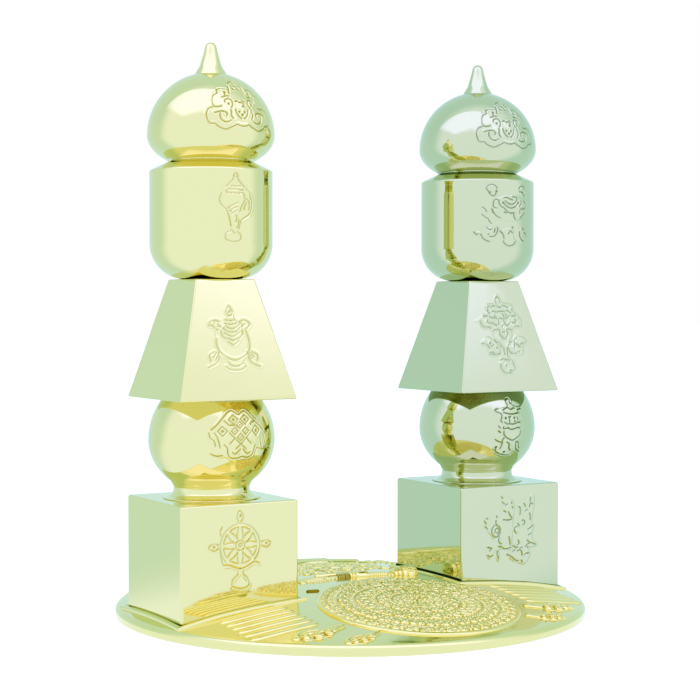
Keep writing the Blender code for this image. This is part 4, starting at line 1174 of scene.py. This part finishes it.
def bars_tree():
    """Strokes as they are drawn, laid on the dome."""
    tree, sizes = new_tree("relief_bars", {"Sides": 10, "Height": 0.8, "Lift": 0.0})
    return laid_down(tree, swept(tree, sizes), sizes)


def ring_tree():
    """One drawn ornament set round the medallion again and again, each a little different, as on a casting."""
    tree, sizes = new_tree("relief_ring", {
        "Sides": 6, "Height": 1.0, "Lift": DISH_FLOOR * MM, "Radius": 10 * MM, "Count": 24, "Start": 0.0, "Vary": 0.15,
        "Seed": 1,
    })
    circle = add_node(tree, "GeometryNodeMeshCircle", {"Vertices": sizes["Count"], "Radius": sizes["Radius"]})
    index = tree.nodes.new("GeometryNodeInputIndex").outputs[0]
    low, high = maths(tree, "SUBTRACT", 1.0, sizes["Vary"]), maths(tree, "ADD", 1.0, sizes["Vary"])
    chances = [
        add_node(tree, "FunctionNodeRandomValue", {
            2: low, 3: high, "ID": index, "Seed": maths(tree, "ADD", sizes["Seed"], float(i)),
        }, data_type="FLOAT").outputs[1]
        for i in range(4)
    ]
    step = maths(tree, "DIVIDE", math.tau, sizes["Count"])
    angle = maths(tree, "MULTIPLY_ADD", index, step, maths(tree, "SUBTRACT", chances[3], 1.0))
    rotation = add_node(tree, "ShaderNodeCombineXYZ", {2: angle})
    scale = add_node(tree, "ShaderNodeCombineXYZ", dict(enumerate(chances[:3])))
    placed = add_node(tree, "GeometryNodeInstanceOnPoints", {
        "Points": circle.outputs[0], "Instance": swept(tree, sizes), "Rotation": rotation.outputs[0],
        "Scale": scale.outputs[0],
    })
    real = add_node(tree, "GeometryNodeRealizeInstances", {"Geometry": placed.outputs[0]})
    start = add_node(tree, "ShaderNodeCombineXYZ", {2: sizes["Start"]})
    turned = add_node(tree, "GeometryNodeTransform", {
        "Geometry": real.outputs[0], "Translation": (MEDALLION[0] * MM, MEDALLION[1] * MM, 0.0),
        "Rotation": start.outputs[0],
    })
    return laid_down(tree, turned.outputs[0], sizes)


BARS = bars_tree()
RINGS = ring_tree()


def modelled(tree, strokes, **settings):
    """Run a relief tree on strokes and keep what it makes as a plain mesh."""
    holder = bpy.data.objects.new(tree.name, line_mesh(tree.name, strokes))
    scene.collection.objects.link(holder)
    modifier = holder.modifiers.new("relief", "NODES")
    modifier.node_group = tree
    for socket in tree.interface.items_tree:
        if socket.in_out == "INPUT" and socket.name in settings:
            modifier[socket.identifier] = settings[socket.name]
    made = bpy.data.meshes.new_from_object(holder.evaluated_get(bpy.context.evaluated_depsgraph_get()))
    bpy.data.objects.remove(holder)
    return made


def joined(name, *parts):
    """Several meshes as one."""
    work = bmesh.new()
    for part in parts:
        work.from_mesh(part)
    mesh = bpy.data.meshes.new(name)
    work.to_mesh(mesh)
    work.free()
    return mesh


def keep_relief(name, mesh, *nodes):
    """Put a finished relief on the base in the place of its CAD nodes."""
    finish_piece("cast_" + name, mesh, RELIEF, "gold_relief", *nodes)


# the medallion: a dish with a smooth rim and four ridges, and rings of ornament between them

RIM_CREST = 0.6
RIDGES = (22.3, 17.5, 11.7, 7.4)
RIDGE_RISE = 0.32
RIDGE_WIDTH = 0.3
# how far the dish floor between the ridges takes the darker tone, as painted shade, and is made duller
DISH_SHADE_AND_DULLING = 0.38
GRAIN_PITCH = 1.3
GRAIN_SIZE = 0.52
GRAIN_HEIGHT = 0.9
ORNAMENT_HEIGHT = 1.7


def dish():
    """The medallion's dish with its rim and ridges."""
    outer = MEDALLION_RADIUS
    rim = path(
        straight((outer, -0.5), (outer, RIM_CREST - 0.45), step=0.4),
        arc((outer - 0.45, RIM_CREST - 0.45), (0.45, 0.45), 0, 90, 0.12),
        arc((outer - 0.95, RIM_CREST - 0.4), (0.4, 0.4), 90, 165, 0.12),
        [(outer - 1.7, DISH_FLOOR)],
    )
    close_in = [ridge + np.linspace(-0.75, 0.75, 11) for ridge in RIDGES]
    radii = np.sort(np.concatenate([np.arange(0.4, outer - 1.9, 1.0)] + close_in))[::-1]
    lift = np.full(len(radii), DISH_FLOOR)
    for ridge in RIDGES:
        lift += RIDGE_RISE * np.exp(-((radii - ridge) / RIDGE_WIDTH) ** 2)
    outline = path(rim, np.column_stack([radii, lift]))
    turn = np.radians(np.linspace(0, 360, 240, endpoint=False))
    x = MEDALLION[0] + outline[:, :1] * np.cos(turn)
    y = MEDALLION[1] + outline[:, :1] * np.sin(turn)
    corners, faces = skin(np.stack([x, y, dome_height(x, y) + outline[:, 1:]], -1))
    # painted shade: the low floor between the ridges takes the darker tone, less up the ridges, none on the rim
    proud = np.where(outline[:, 0] < outer - 1.6, np.clip((outline[:, 1] - DISH_FLOOR) / RIDGE_RISE, 0, 1), 1.0)
    dull = np.repeat(DISH_SHADE_AND_DULLING * (1 - proud), len(turn))
    return mesh_of("medallion_dish", corners, faces, 60, dull)


def petal(wide, long, thick):
    """A pointed petal with a midrib, its tip outward."""
    half = [(-long * 0.5, wide * 0.12), (-long * 0.2, wide * 0.48), (long * 0.15, wide * 0.42), (long * 0.5, 0.0)]
    return [
        stroke(*half, thick=thick, ends=0.5),
        stroke(*[(x, -y) for x, y in half], thick=thick, ends=0.5),
        stroke((-long * 0.35, 0.0), (long * 0.15, 0.0), thick=thick * 1.2, ends=0.4),
    ]


# each ring of ornament: radius, how many, and the strokes of one (x outward, y along the ring)
OUTER_RING = [
    (25.0, 44, [scroll(0.45, -0.5, 1.05, 0.34, 20), scroll(-1.15, 0.75, 0.8, 0.3, 200), grain(0.75, 1.25, 0.45),
                grain(-1.3, -0.75, 0.4), stroke((-0.5, -1.2), (0.1, 0.2), (-0.3, 1.5), thick=0.26, ends=0.5)]),
    (23.2, 88, [grain(0.0, 0.0, 0.36)]),
]
MIDDLE_RING = [
    (20.4, 30, [scroll(0.35, -0.9, 1.25, 0.38, 160), scroll(-0.3, 1.0, 0.95, 0.34, -20), grain(0.9, 0.7, 0.5),
                grain(-1.3, -0.4, 0.42), stroke((-1.4, -1.7), (-1.5, 0.0), (-1.2, 1.8), thick=0.28, ends=0.5)]),
    (18.5, 64, [grain(0.0, 0.0, 0.42)]),
]
INNER_RING = [
    (14.7, 28, petal(2.6, 3.2, 0.34) + [grain(1.5, 1.5, 0.45)]),
    (12.7, 46, [grain(0.0, 0.0, 0.42)]),
    (16.7, 60, [grain(0.0, 0.0, 0.34)]),
]
BOSS_RING = [
    (9.6, 15, [scroll(0.2, -0.8, 1.2, 0.36, 40), scroll(-0.5, 1.0, 0.8, 0.3, 220), grain(1.0, 1.1, 0.45)]),
    (8.3, 30, [grain(0.0, 0.0, 0.36)]),
    (5.6, 14, petal(1.9, 2.2, 0.3)),
    (3.4, 9, [scroll(0.0, 0.0, 0.8, 0.3, 0)]),
    (1.8, 6, [grain(0.0, 0.0, 0.45)]),
]


def grain_bed(inner, outer):
    """Rings of small grains that fill a band between its larger ornaments."""
    radii = np.arange(inner, outer, GRAIN_PITCH)
    return [(radius, int(math.tau * radius / GRAIN_PITCH), [grain(0.0, 0.0, GRAIN_SIZE, 4)]) for radius in radii]


def ornament(rings, seed):
    """All the rings of one band of the medallion."""
    bands = []
    for i, (radius, count, strokes) in enumerate(rings):
        bands.append(modelled(RINGS, strokes, Radius=radius * MM, Count=count, Start=0.07 * (seed + i),
                              Height=GRAIN_HEIGHT if len(strokes) == 1 else ORNAMENT_HEIGHT,
                              Seed=seed * 50 + i, Vary=0.3 if len(strokes) == 1 else 0.15, Sides=5))
    return bands


def medallion():
    """The medallion's four pieces, each a band of ornament."""
    keep_relief("medallion_dish", dish(), "medallion_rim")
    bands = (("outer", OUTER_RING, (22.9, 26.6), "medallion_ring_outer"),
             ("middle", MIDDLE_RING, (18.1, 22.0), "medallion_ring_middle"),
             ("inner", INNER_RING, (12.3, 17.2), "medallion_ring_inner"),
             ("boss", BOSS_RING, (1.2, 11.3), "medallion_boss"))
    for seed, (label, rings, reach, node) in enumerate(bands, 1):
        shapes = ornament(rings + grain_bed(*reach), seed)
        keep_relief("medallion_" + label, joined("medallion_" + label, *shapes), node)


# panels of ribs, cloud scrolls and the sceptre

RIB_ENDS = (33.0, 52.9)
RIB_FIRST = 22.7
RIB_PITCH = 3.4
RIB_COUNT = 6
RIB_HALF = 1.2
RIB_TAPER = 2.5


def rib_panel(side, row):
    """Six straight ribs beside a seat; side and row are 1 or -1 toward +x and +y."""
    x = np.linspace(*RIB_ENDS, 40)
    inward = np.minimum(x - x[0], x[-1] - x) / RIB_TAPER
    half = RIB_HALF * np.sqrt(np.clip(1 - (1 - np.clip(inward, 0, 1)) ** 2, 0.01, 1))
    ribs = [np.column_stack([x, np.full(40, RIB_FIRST + RIB_PITCH * i), half]) for i in range(RIB_COUNT)]
    return modelled(BARS, moved(ribs, flip_x=side < 0, flip_y=row < 0), Height=0.5, Sides=12)


# one cloud scroll, from its tail at the left to its head at the right, its front edge below
CLOUD_CURLS = [
    scroll(-1.6, 1.4, 1.3, 0.34, 0),
    scroll(1.6, 1.5, 1.45, 0.36, 30),
    scroll(4.4, 0.4, 1.3, 0.34, -40),
    stroke((-0.2, -0.6), (1.4, -1.0), (3.0, -1.4), thick=0.4, ends=0.5),
]
CLOUD_LUMPS = [
    stroke((-7.5, -0.6), (-4.0, -1.2), (-1.5, -1.0), (0.5, -1.9), (3.0, -2.6), (5.2, -2.2), (6.6, -0.6), (6.2, 0.9),
           thick=1.05, ends=0.7),
    stroke((-7.5, -0.6), (-4.8, 0.2), (-2.8, 1.0), thick=0.9, ends=0.6),
    stroke((-2.4, 1.3), (-1.6, 1.5), (-0.8, 1.3), thick=1.7, ends=0.3),
    stroke((0.8, 1.3), (1.6, 1.6), (2.4, 1.3), thick=1.9, ends=0.3),
    stroke((3.6, 0.3), (4.4, 0.5), (5.2, 0.2), thick=1.8, ends=0.3),
    stroke((-6.0, -0.5), (-3.6, -0.4), (0.0, -0.7), (3.4, -1.4), thick=1.1, ends=0.2),
]
CLOUD_PAD = [(-7.6, -0.6), (-4.0, -1.5), (-1.5, -1.4), (0.5, -2.3), (3.0, -3.0), (5.5, -2.6), (7.0, -0.6), (6.4, 1.6),
             (4.4, 2.4), (2.8, 3.2), (0.6, 3.2), (-1.6, 3.1), (-3.2, 2.0), (-4.8, 0.8)]
CLOUDS = {"outer": (36.4, 46.2, 3.5, 1.05), "inner": (28.6, 55.1, 12.0, 0.78)}


def cloud(side, row, which):
    """A cloud scroll on its thin pad."""
    x, y, turn, scale = CLOUDS[which]
    ring = smooth(*CLOUD_PAD, CLOUD_PAD[0], step=0.5)[:-1]
    rings = []
    for shrink, lift in ((1.0, -0.3), (1.0, 0.04), (0.97, 0.12), (0.92, 0.16)):
        line = moved([np.column_stack([ring * shrink, ring[:, 0]])], x, y, turn, scale, side < 0, row < 0)[0]
        rings.append(np.column_stack([line[:, :2], dome_height(line[:, 0], line[:, 1]) + lift]))
    rows = np.array(rings)
    if side * row < 0:
        rows = rows[:, ::-1]
    corners, faces = skin(rows)
    pad = mesh_of("cloud_pad", corners, faces)
    place = (x, y, turn, scale, side < 0, row < 0)
    lumps = modelled(BARS, moved(CLOUD_LUMPS, *place), Height=0.58, Lift=0.1 * MM, Sides=12)
    curls = modelled(BARS, moved(CLOUD_CURLS, *place), Height=0.7, Lift=0.75 * MM, Sides=8)
    return joined("cloud", pad, lumps, curls)


# the sceptre in its own line, from the tips of its prongs to its crowned head
SCEPTRE_TURN = -4.3
SCEPTRE_PRONGS = [
    turned_bar((-17.6, 0.2), (-17.2, 0.45), (-9.0, 0.6), (-8.6, 0.85), (-8.2, 0.6), (-4.2, 0.8)),
    stroke((-17.0, 0.3), (-13.5, 1.9), (-10.0, 2.3), (-6.8, 1.9), (-4.2, 0.7), thick=0.42, ends=0.4),
    stroke((-17.0, -0.3), (-13.5, -1.9), (-10.0, -2.3), (-6.8, -1.9), (-4.2, -0.7), thick=0.42, ends=0.4),
    stroke((-14.5, 1.9), (-15.8, 2.7), (-17.2, 2.3), thick=0.42, ends=0.4),
    stroke((-14.5, -1.9), (-15.8, -2.7), (-17.2, -2.3), thick=0.42, ends=0.4),
] + [grain(x, y * side, 0.6) for x, y in ((-16.2, 1.1), (-14.9, 1.5), (-13.5, 1.9), (-12.1, 2.2), (-10.7, 2.35),
                                          (-9.3, 2.35), (-7.9, 2.2), (-6.5, 1.8), (-5.1, 1.2)) for side in (-1, 1)
     ] + [grain(x, y * side, 0.45) for x, y in ((-13.0, 3.3), (-11.4, 3.7), (-9.8, 3.7), (-8.2, 3.4)) for side in (-1, 1)]
SCEPTRE_BLOCK = [turned_bar((-4.3, 0.9), (-4.2, 1.5), *[
    (-4.0 + 0.31 * i, 1.5 - 0.28 * (i % 2)) for i in range(10)], (-0.9, 1.5), (-0.8, 0.9))]
SCEPTRE_GRIP = [turned_bar((-0.6, 0.8), (-0.5, 1.5), (-0.1, 1.6), (0.1, 1.1), (0.3, 1.55), (0.7, 1.6), (0.9, 1.1),
                           (1.1, 1.2), (1.3, 1.6), (2.2, 1.72), (4.4, 1.72), (5.2, 1.6), (5.4, 1.1))]
SCEPTRE_NECK = [turned_bar((5.4, 1.0), *[(5.7 + 0.35 * i, 1.12 - 0.2 * (i % 2)) for i in range(17)], (11.5, 1.0))] + [
    grain(12.0, y, 0.55) for y in (-1.1, 0.0, 1.1)] + [grain(13.0, y, 0.62) for y in (-1.4, -0.45, 0.45, 1.4)]
SCEPTRE_HEAD = [
    turned_bar((13.4, 1.4), (13.6, 2.2), (14.2, 2.3), (14.4, 2.05), (14.6, 2.6), (15.3, 2.7), (15.5, 2.4), (15.8, 3.1),
               (17.1, 3.2), (17.35, 2.85), (17.6, 3.2), (19.1, 3.2), (19.35, 2.85), (19.6, 3.1), (20.8, 2.9), (21.1, 2.0),
               (21.9, 0.8)),
]
BACK_BAR = [stroke((-9.0, 5.4), (-1.0, 4.7), (5.6, 4.2), thick=0.75, ends=0.3)]
# painted shadow: the small ledge takes the full darker tone
LEDGE = shaded_and_dulled([stroke((-21.0, -11.4), (-19.4, -12.2), (-17.6, -12.9), thick=0.42, ends=0.3)], 1.0)

# the banks of cloud that close the back of the base, and the lines that flow in front of them
BACK_BANKS = [
    stroke((-24.0, 51.2), (-14.0, 51.8), (-4.0, 51.4), (9.0, 51.7), (23.0, 51.2), thick=2.4, ends=0.1, step=0.8),
    stroke((-19.0, 45.5), (-9.0, 47.0), (1.0, 45.2), (9.0, 46.6), (20.0, 44.0), thick=1.9, ends=0.1, step=0.8),
    stroke((15.0, 49.0), (23.0, 47.6), (31.0, 45.8), thick=1.9, ends=0.1, step=0.8),
]
BACK_ROWS = (41.0, 37.5, 34.0, 30.5, 27.0, 23.5, 20.0, 16.5, 13.0)


def back_lines():
    """Short wavy strokes, curls and grains that fill the back between the banks and the sceptre."""
    chance = np.random.default_rng(7)
    strokes = []
    for row, y in enumerate(BACK_ROWS):
        x = -22.0 + 2.5 * (row % 2)
        while x < 20.0:
            long = chance.uniform(3.5, 6.5)
            bend = chance.uniform(0.5, 1.2) * chance.choice([-1, 1])
            thick = chance.uniform(0.45, 0.8)
            at = y + chance.uniform(-0.8, 0.8)
            strokes.append(stroke((x, at), (x + long * 0.3, at + bend), (x + long * 0.7, at - bend * 0.6),
                                  (x + long, at + bend * 0.3), thick=thick, ends=0.3, step=0.6))
            strokes.append(grain(x + long + 0.8, at - bend, chance.uniform(0.4, 0.7)))
            if chance.uniform() < 0.35:
                strokes.append(scroll(x + long / 2, at + 1.6, 1.3, 0.45, chance.uniform(0, 360), points=9))
            x += long + chance.uniform(1.2, 2.2)
    return strokes


def sceptre():
    """The sceptre's pieces, the bar behind it and the small ledge in front."""
    parts = (
        # painted shade: the hatched block takes the darker tone at 0.6
        ("prongs", SCEPTRE_PRONGS + shaded_and_dulled(SCEPTRE_BLOCK, 0.6), "sceptre_prongs", 0.85),
        ("grip", SCEPTRE_GRIP, "sceptre_grip", 0.95),
        ("neck", SCEPTRE_NECK, "sceptre_neck", 0.95),
        ("head", SCEPTRE_HEAD, "sceptre_head", 0.82),
    )
    for label, strokes, node, height in parts:
        keep_relief("sceptre_" + label, modelled(BARS, moved(strokes, turn=SCEPTRE_TURN), Height=height, Sides=12), node)
    keep_relief("sceptre_bar", modelled(BARS, BACK_BAR + LEDGE, Height=1.2))
    banks = modelled(BARS, BACK_BANKS, Height=0.72, Sides=14)
    finish_piece("cast_back_banks", banks, SATIN, "gold_relief")
    keep_relief("back_lines", modelled(BARS, back_lines(), Height=0.6, Sides=6))


def reliefs():
    """Every relief on the base."""
    medallion()
    sceptre()
    for side, metal_name in ((-1, "gold"), (1, "nickel")):
        for row, place in ((-1, "front"), (1, "back")):
            end = "_" + metal_name + "_side"
            keep_relief(place + "_ribs" + end, rib_panel(side, row), place + "_ribs" + end)
            for which in CLOUDS:
                name = place + "_cloud_" + which + end
                keep_relief(name, cloud(side, row, which), name)


base_plate()
seat_frame("gold")
seat_frame("nickel")
seat_shadow_strip("nickel")
reliefs()
stupa("gold", GOLD, "gold_plate")
stupa("nickel", NICKEL, "nickel_plate")


# studio


def card(name, corners, metal):
    """A flat stage piece from its corners, in metres."""
    mesh = bpy.data.meshes.new(name)
    mesh.from_pydata(corners, [], [tuple(range(len(corners)))])
    made = bpy.data.objects.new(name, mesh)
    scene.collection.objects.link(made)
    mesh.materials.append(metal)
    return made


def matt(name, hex_code, glow=0.0):
    """A plain matt finish for the stage."""
    finish = bpy.data.materials.new(name)
    finish.use_nodes = True
    shader = finish.node_tree.nodes["Principled BSDF"]
    shader.inputs["Base Color"].default_value = colour(hex_code)
    shader.inputs["Roughness"].default_value = 1.0
    shader.inputs["Emission Color"].default_value = colour(hex_code)
    shader.inputs["Emission Strength"].default_value = glow
    return finish


def tent(red, green, blue):
    """A colour of the tent, from what the plain mirrors show of it."""
    return (red * TENT_CAST[0], green * TENT_CAST[1], blue * TENT_CAST[2], 1.0)


def tent_wall(tree, direction):
    """Colour of the tent's wall in a direction: bright in front, dimmer and greener behind and below."""
    ahead = add_node(tree, "ShaderNodeVectorMath", {0: direction, 1: FRONT}, operation="DOT_PRODUCT")
    share = add_node(tree, "ShaderNodeMapRange", {
        "Value": ahead.outputs["Value"], "From Min": -0.28, "From Max": 0.2,
    }, interpolation_type="SMOOTHSTEP").outputs["Result"]
    height = add_node(tree, "ShaderNodeSeparateXYZ", {0: direction}).outputs[2]
    rise = add_node(tree, "ShaderNodeMapRange", {"Value": height, "From Min": -0.3, "From Max": 0.05},
                    interpolation_type="SMOOTHSTEP").outputs["Result"]
    front = add_node(tree, "ShaderNodeMix", {"Factor": rise, 6: tent(0.78, 1.0, 0.84), 7: tent(0.84, 1.08, 1.0)},
                     data_type="RGBA").outputs[2]
    wall = add_node(tree, "ShaderNodeMix", {"Factor": share, 6: tent(0.59, 0.88, 0.74), 7: front},
                    data_type="RGBA")
    return wall.outputs[2], share


def light_box():
    """The soft box overhead: it shows in the metal with a crisp edge behind, and fades out forward and aside."""
    finish = bpy.data.materials.new("light_box")
    finish.use_nodes = True
    tree = finish.node_tree
    tree.nodes.remove(tree.nodes["Principled BSDF"])
    split = add_node(tree, "ShaderNodeSeparateXYZ", {0: add_node(tree, "ShaderNodeTexCoord").outputs["Object"]}).outputs
    forward = add_node(tree, "ShaderNodeMapRange", {"Value": split[0], "From Min": 0.38, "From Max": 0.62,
                                                    "To Min": 1.0, "To Max": 0.0}, interpolation_type="SMOOTHSTEP")
    sideways = add_node(tree, "ShaderNodeMapRange", {"Value": split[1], "From Min": 0.75, "From Max": 1.3,
                                                     "To Min": 1.0, "To Max": 0.0}, interpolation_type="SMOOTHSTEP")
    other = add_node(tree, "ShaderNodeMapRange", {"Value": split[1], "From Min": -0.75, "From Max": -0.5,
                                                  "To Min": 0.0, "To Max": 1.0}, interpolation_type="SMOOTHSTEP")
    glow = maths(tree, "MULTIPLY", maths(tree, "MULTIPLY", forward.outputs["Result"], sideways.outputs["Result"]),
                 other.outputs["Result"])
    light = add_node(tree, "ShaderNodeEmission", {"Color": tent(0.3, 0.28, 0.62), "Strength": glow})
    clear = add_node(tree, "ShaderNodeBsdfTransparent")
    both_ways = add_node(tree, "ShaderNodeAddShader", {0: light.outputs[0], 1: clear.outputs[0]})
    tree.links.new(both_ways.outputs[0], tree.nodes["Material Output"].inputs["Surface"])
    box = card("light_box", [(0.06 + 0.27 * y, y, 0.0) for y in (-0.75, 1.3)] + [(0.75, 1.3, 0.0), (0.75, -0.75, 0.0)],
               finish)
    box.location = (0.0, 0.0, 0.54)
    box.rotation_euler = (0.0, 0.0, math.atan2(FRONT.y, FRONT.x))
    box.visible_camera = False
    box.visible_shadow = False


def tent_floor():
    """What the polished metal sees of the table: light that carries on from the foot of the tent's wall."""
    finish = bpy.data.materials.new("table_reflection")
    finish.use_nodes = True
    tree = finish.node_tree
    shader = tree.nodes["Principled BSDF"]
    shader.inputs["Base Color"].default_value = (0.0, 0.0, 0.0, 1.0)
    shader.inputs["Roughness"].default_value = 1.0
    shader.inputs["Specular IOR Level"].default_value = 0.0
    shader.inputs["Emission Strength"].default_value = 1.0
    place = add_node(tree, "ShaderNodeTexCoord").outputs["Object"]
    outward = add_node(tree, "ShaderNodeVectorMath", {0: place}, operation="NORMALIZE").outputs["Vector"]
    tree.links.new(tent_wall(tree, outward)[0], shader.inputs["Emission Color"])
    return finish


CAMERA_PLACE = Vector((-0.2508, -0.4225, 0.0886))
CAMERA_TURN = (math.pi / 2 - 0.0284, 0.0, -0.5355)
FRONT = Vector((-0.51, -0.86, 0.0))
GRADE = {0: ((0.156, 0.13), (0.266, 0.232), (0.485, 0.465), (0.6, 0.598), (0.68, 0.68)),
         2: ((0.084, 0.05), (0.141, 0.098), (0.21, 0.158), (0.26, 0.218), (0.305, 0.28), (0.41, 0.41))}
TENT_CAST = (1.10, 1.026, 1.262)


def studio():
    """A white tent: bright in front and above, dimmer and greener behind, on a white table."""
    lens = bpy.data.cameras.new("camera")
    lens.lens = 88.15
    camera = bpy.data.objects.new("camera", lens)
    scene.collection.objects.link(camera)
    camera.location = CAMERA_PLACE
    camera.rotation_euler = CAMERA_TURN
    scene.camera = camera
    scene.view_settings.view_transform = "Standard"
    scene.view_settings.use_curve_mapping = True
    mapping = scene.view_settings.curve_mapping
    for channel, places in GRADE.items():
        for place in places:
            mapping.curves[channel].points.new(*place)
    mapping.update()

    size = 4.0
    table = card("table", [(-size, -size, 0), (size, -size, 0), (size, size, 0), (-size, size, 0)],
                 matt("white_table", "#F4F4F4", 0.35))
    table.visible_glossy = False
    low = -0.0002
    under = card("table_glow", [(-size, -size, low), (size, -size, low), (size, size, low), (-size, size, low)],
                 tent_floor())
    under.visible_camera = False
    under.visible_diffuse = False
    under.visible_shadow = False

    world = bpy.data.worlds.new("tent")
    scene.world = world
    world.use_nodes = True
    tree = world.node_tree
    backdrop = tree.nodes["Background"]
    ray = add_node(tree, "ShaderNodeTexCoord").outputs["Generated"]
    wall, front_share = tent_wall(tree, ray)
    split = add_node(tree, "ShaderNodeSeparateXYZ", {0: ray})
    up_share = add_node(tree, "ShaderNodeMapRange", {
        "Value": split.outputs["Z"], "From Min": 0.1, "From Max": 0.4,
    }, interpolation_type="SMOOTHSTEP")
    sky = add_node(tree, "ShaderNodeMix", {
        "Factor": front_share, 6: tent(0.57, 0.85, 0.71), 7: tent(0.85, 1.07, 1.01),
    }, data_type="RGBA")
    cloth = add_node(tree, "ShaderNodeMix", {
        "Factor": up_share.outputs["Result"], 6: wall, 7: sky.outputs[2],
    }, data_type="RGBA")
    seen = add_node(tree, "ShaderNodeLightPath").outputs["Is Camera Ray"]
    shown = add_node(tree, "ShaderNodeMix", {"Factor": seen, 6: cloth.outputs[2], 7: (1, 1, 1, 1)}, data_type="RGBA")
    tree.links.new(shown.outputs[2], backdrop.inputs["Color"])

    lamp = bpy.data.lights.new("overhead_box", "AREA")
    lamp.shape = "RECTANGLE"
    lamp.size = 0.9
    lamp.size_y = 0.7
    lamp.energy = 2.5
    box = bpy.data.objects.new("overhead_box", lamp)
    scene.collection.objects.link(box)
    box.location = FRONT * 0.15 + Vector((0.0, 0.0, 0.75))
    box.rotation_euler = (0.0, 0.0, -0.5355)
    box.visible_glossy = False
    light_box()


studio()
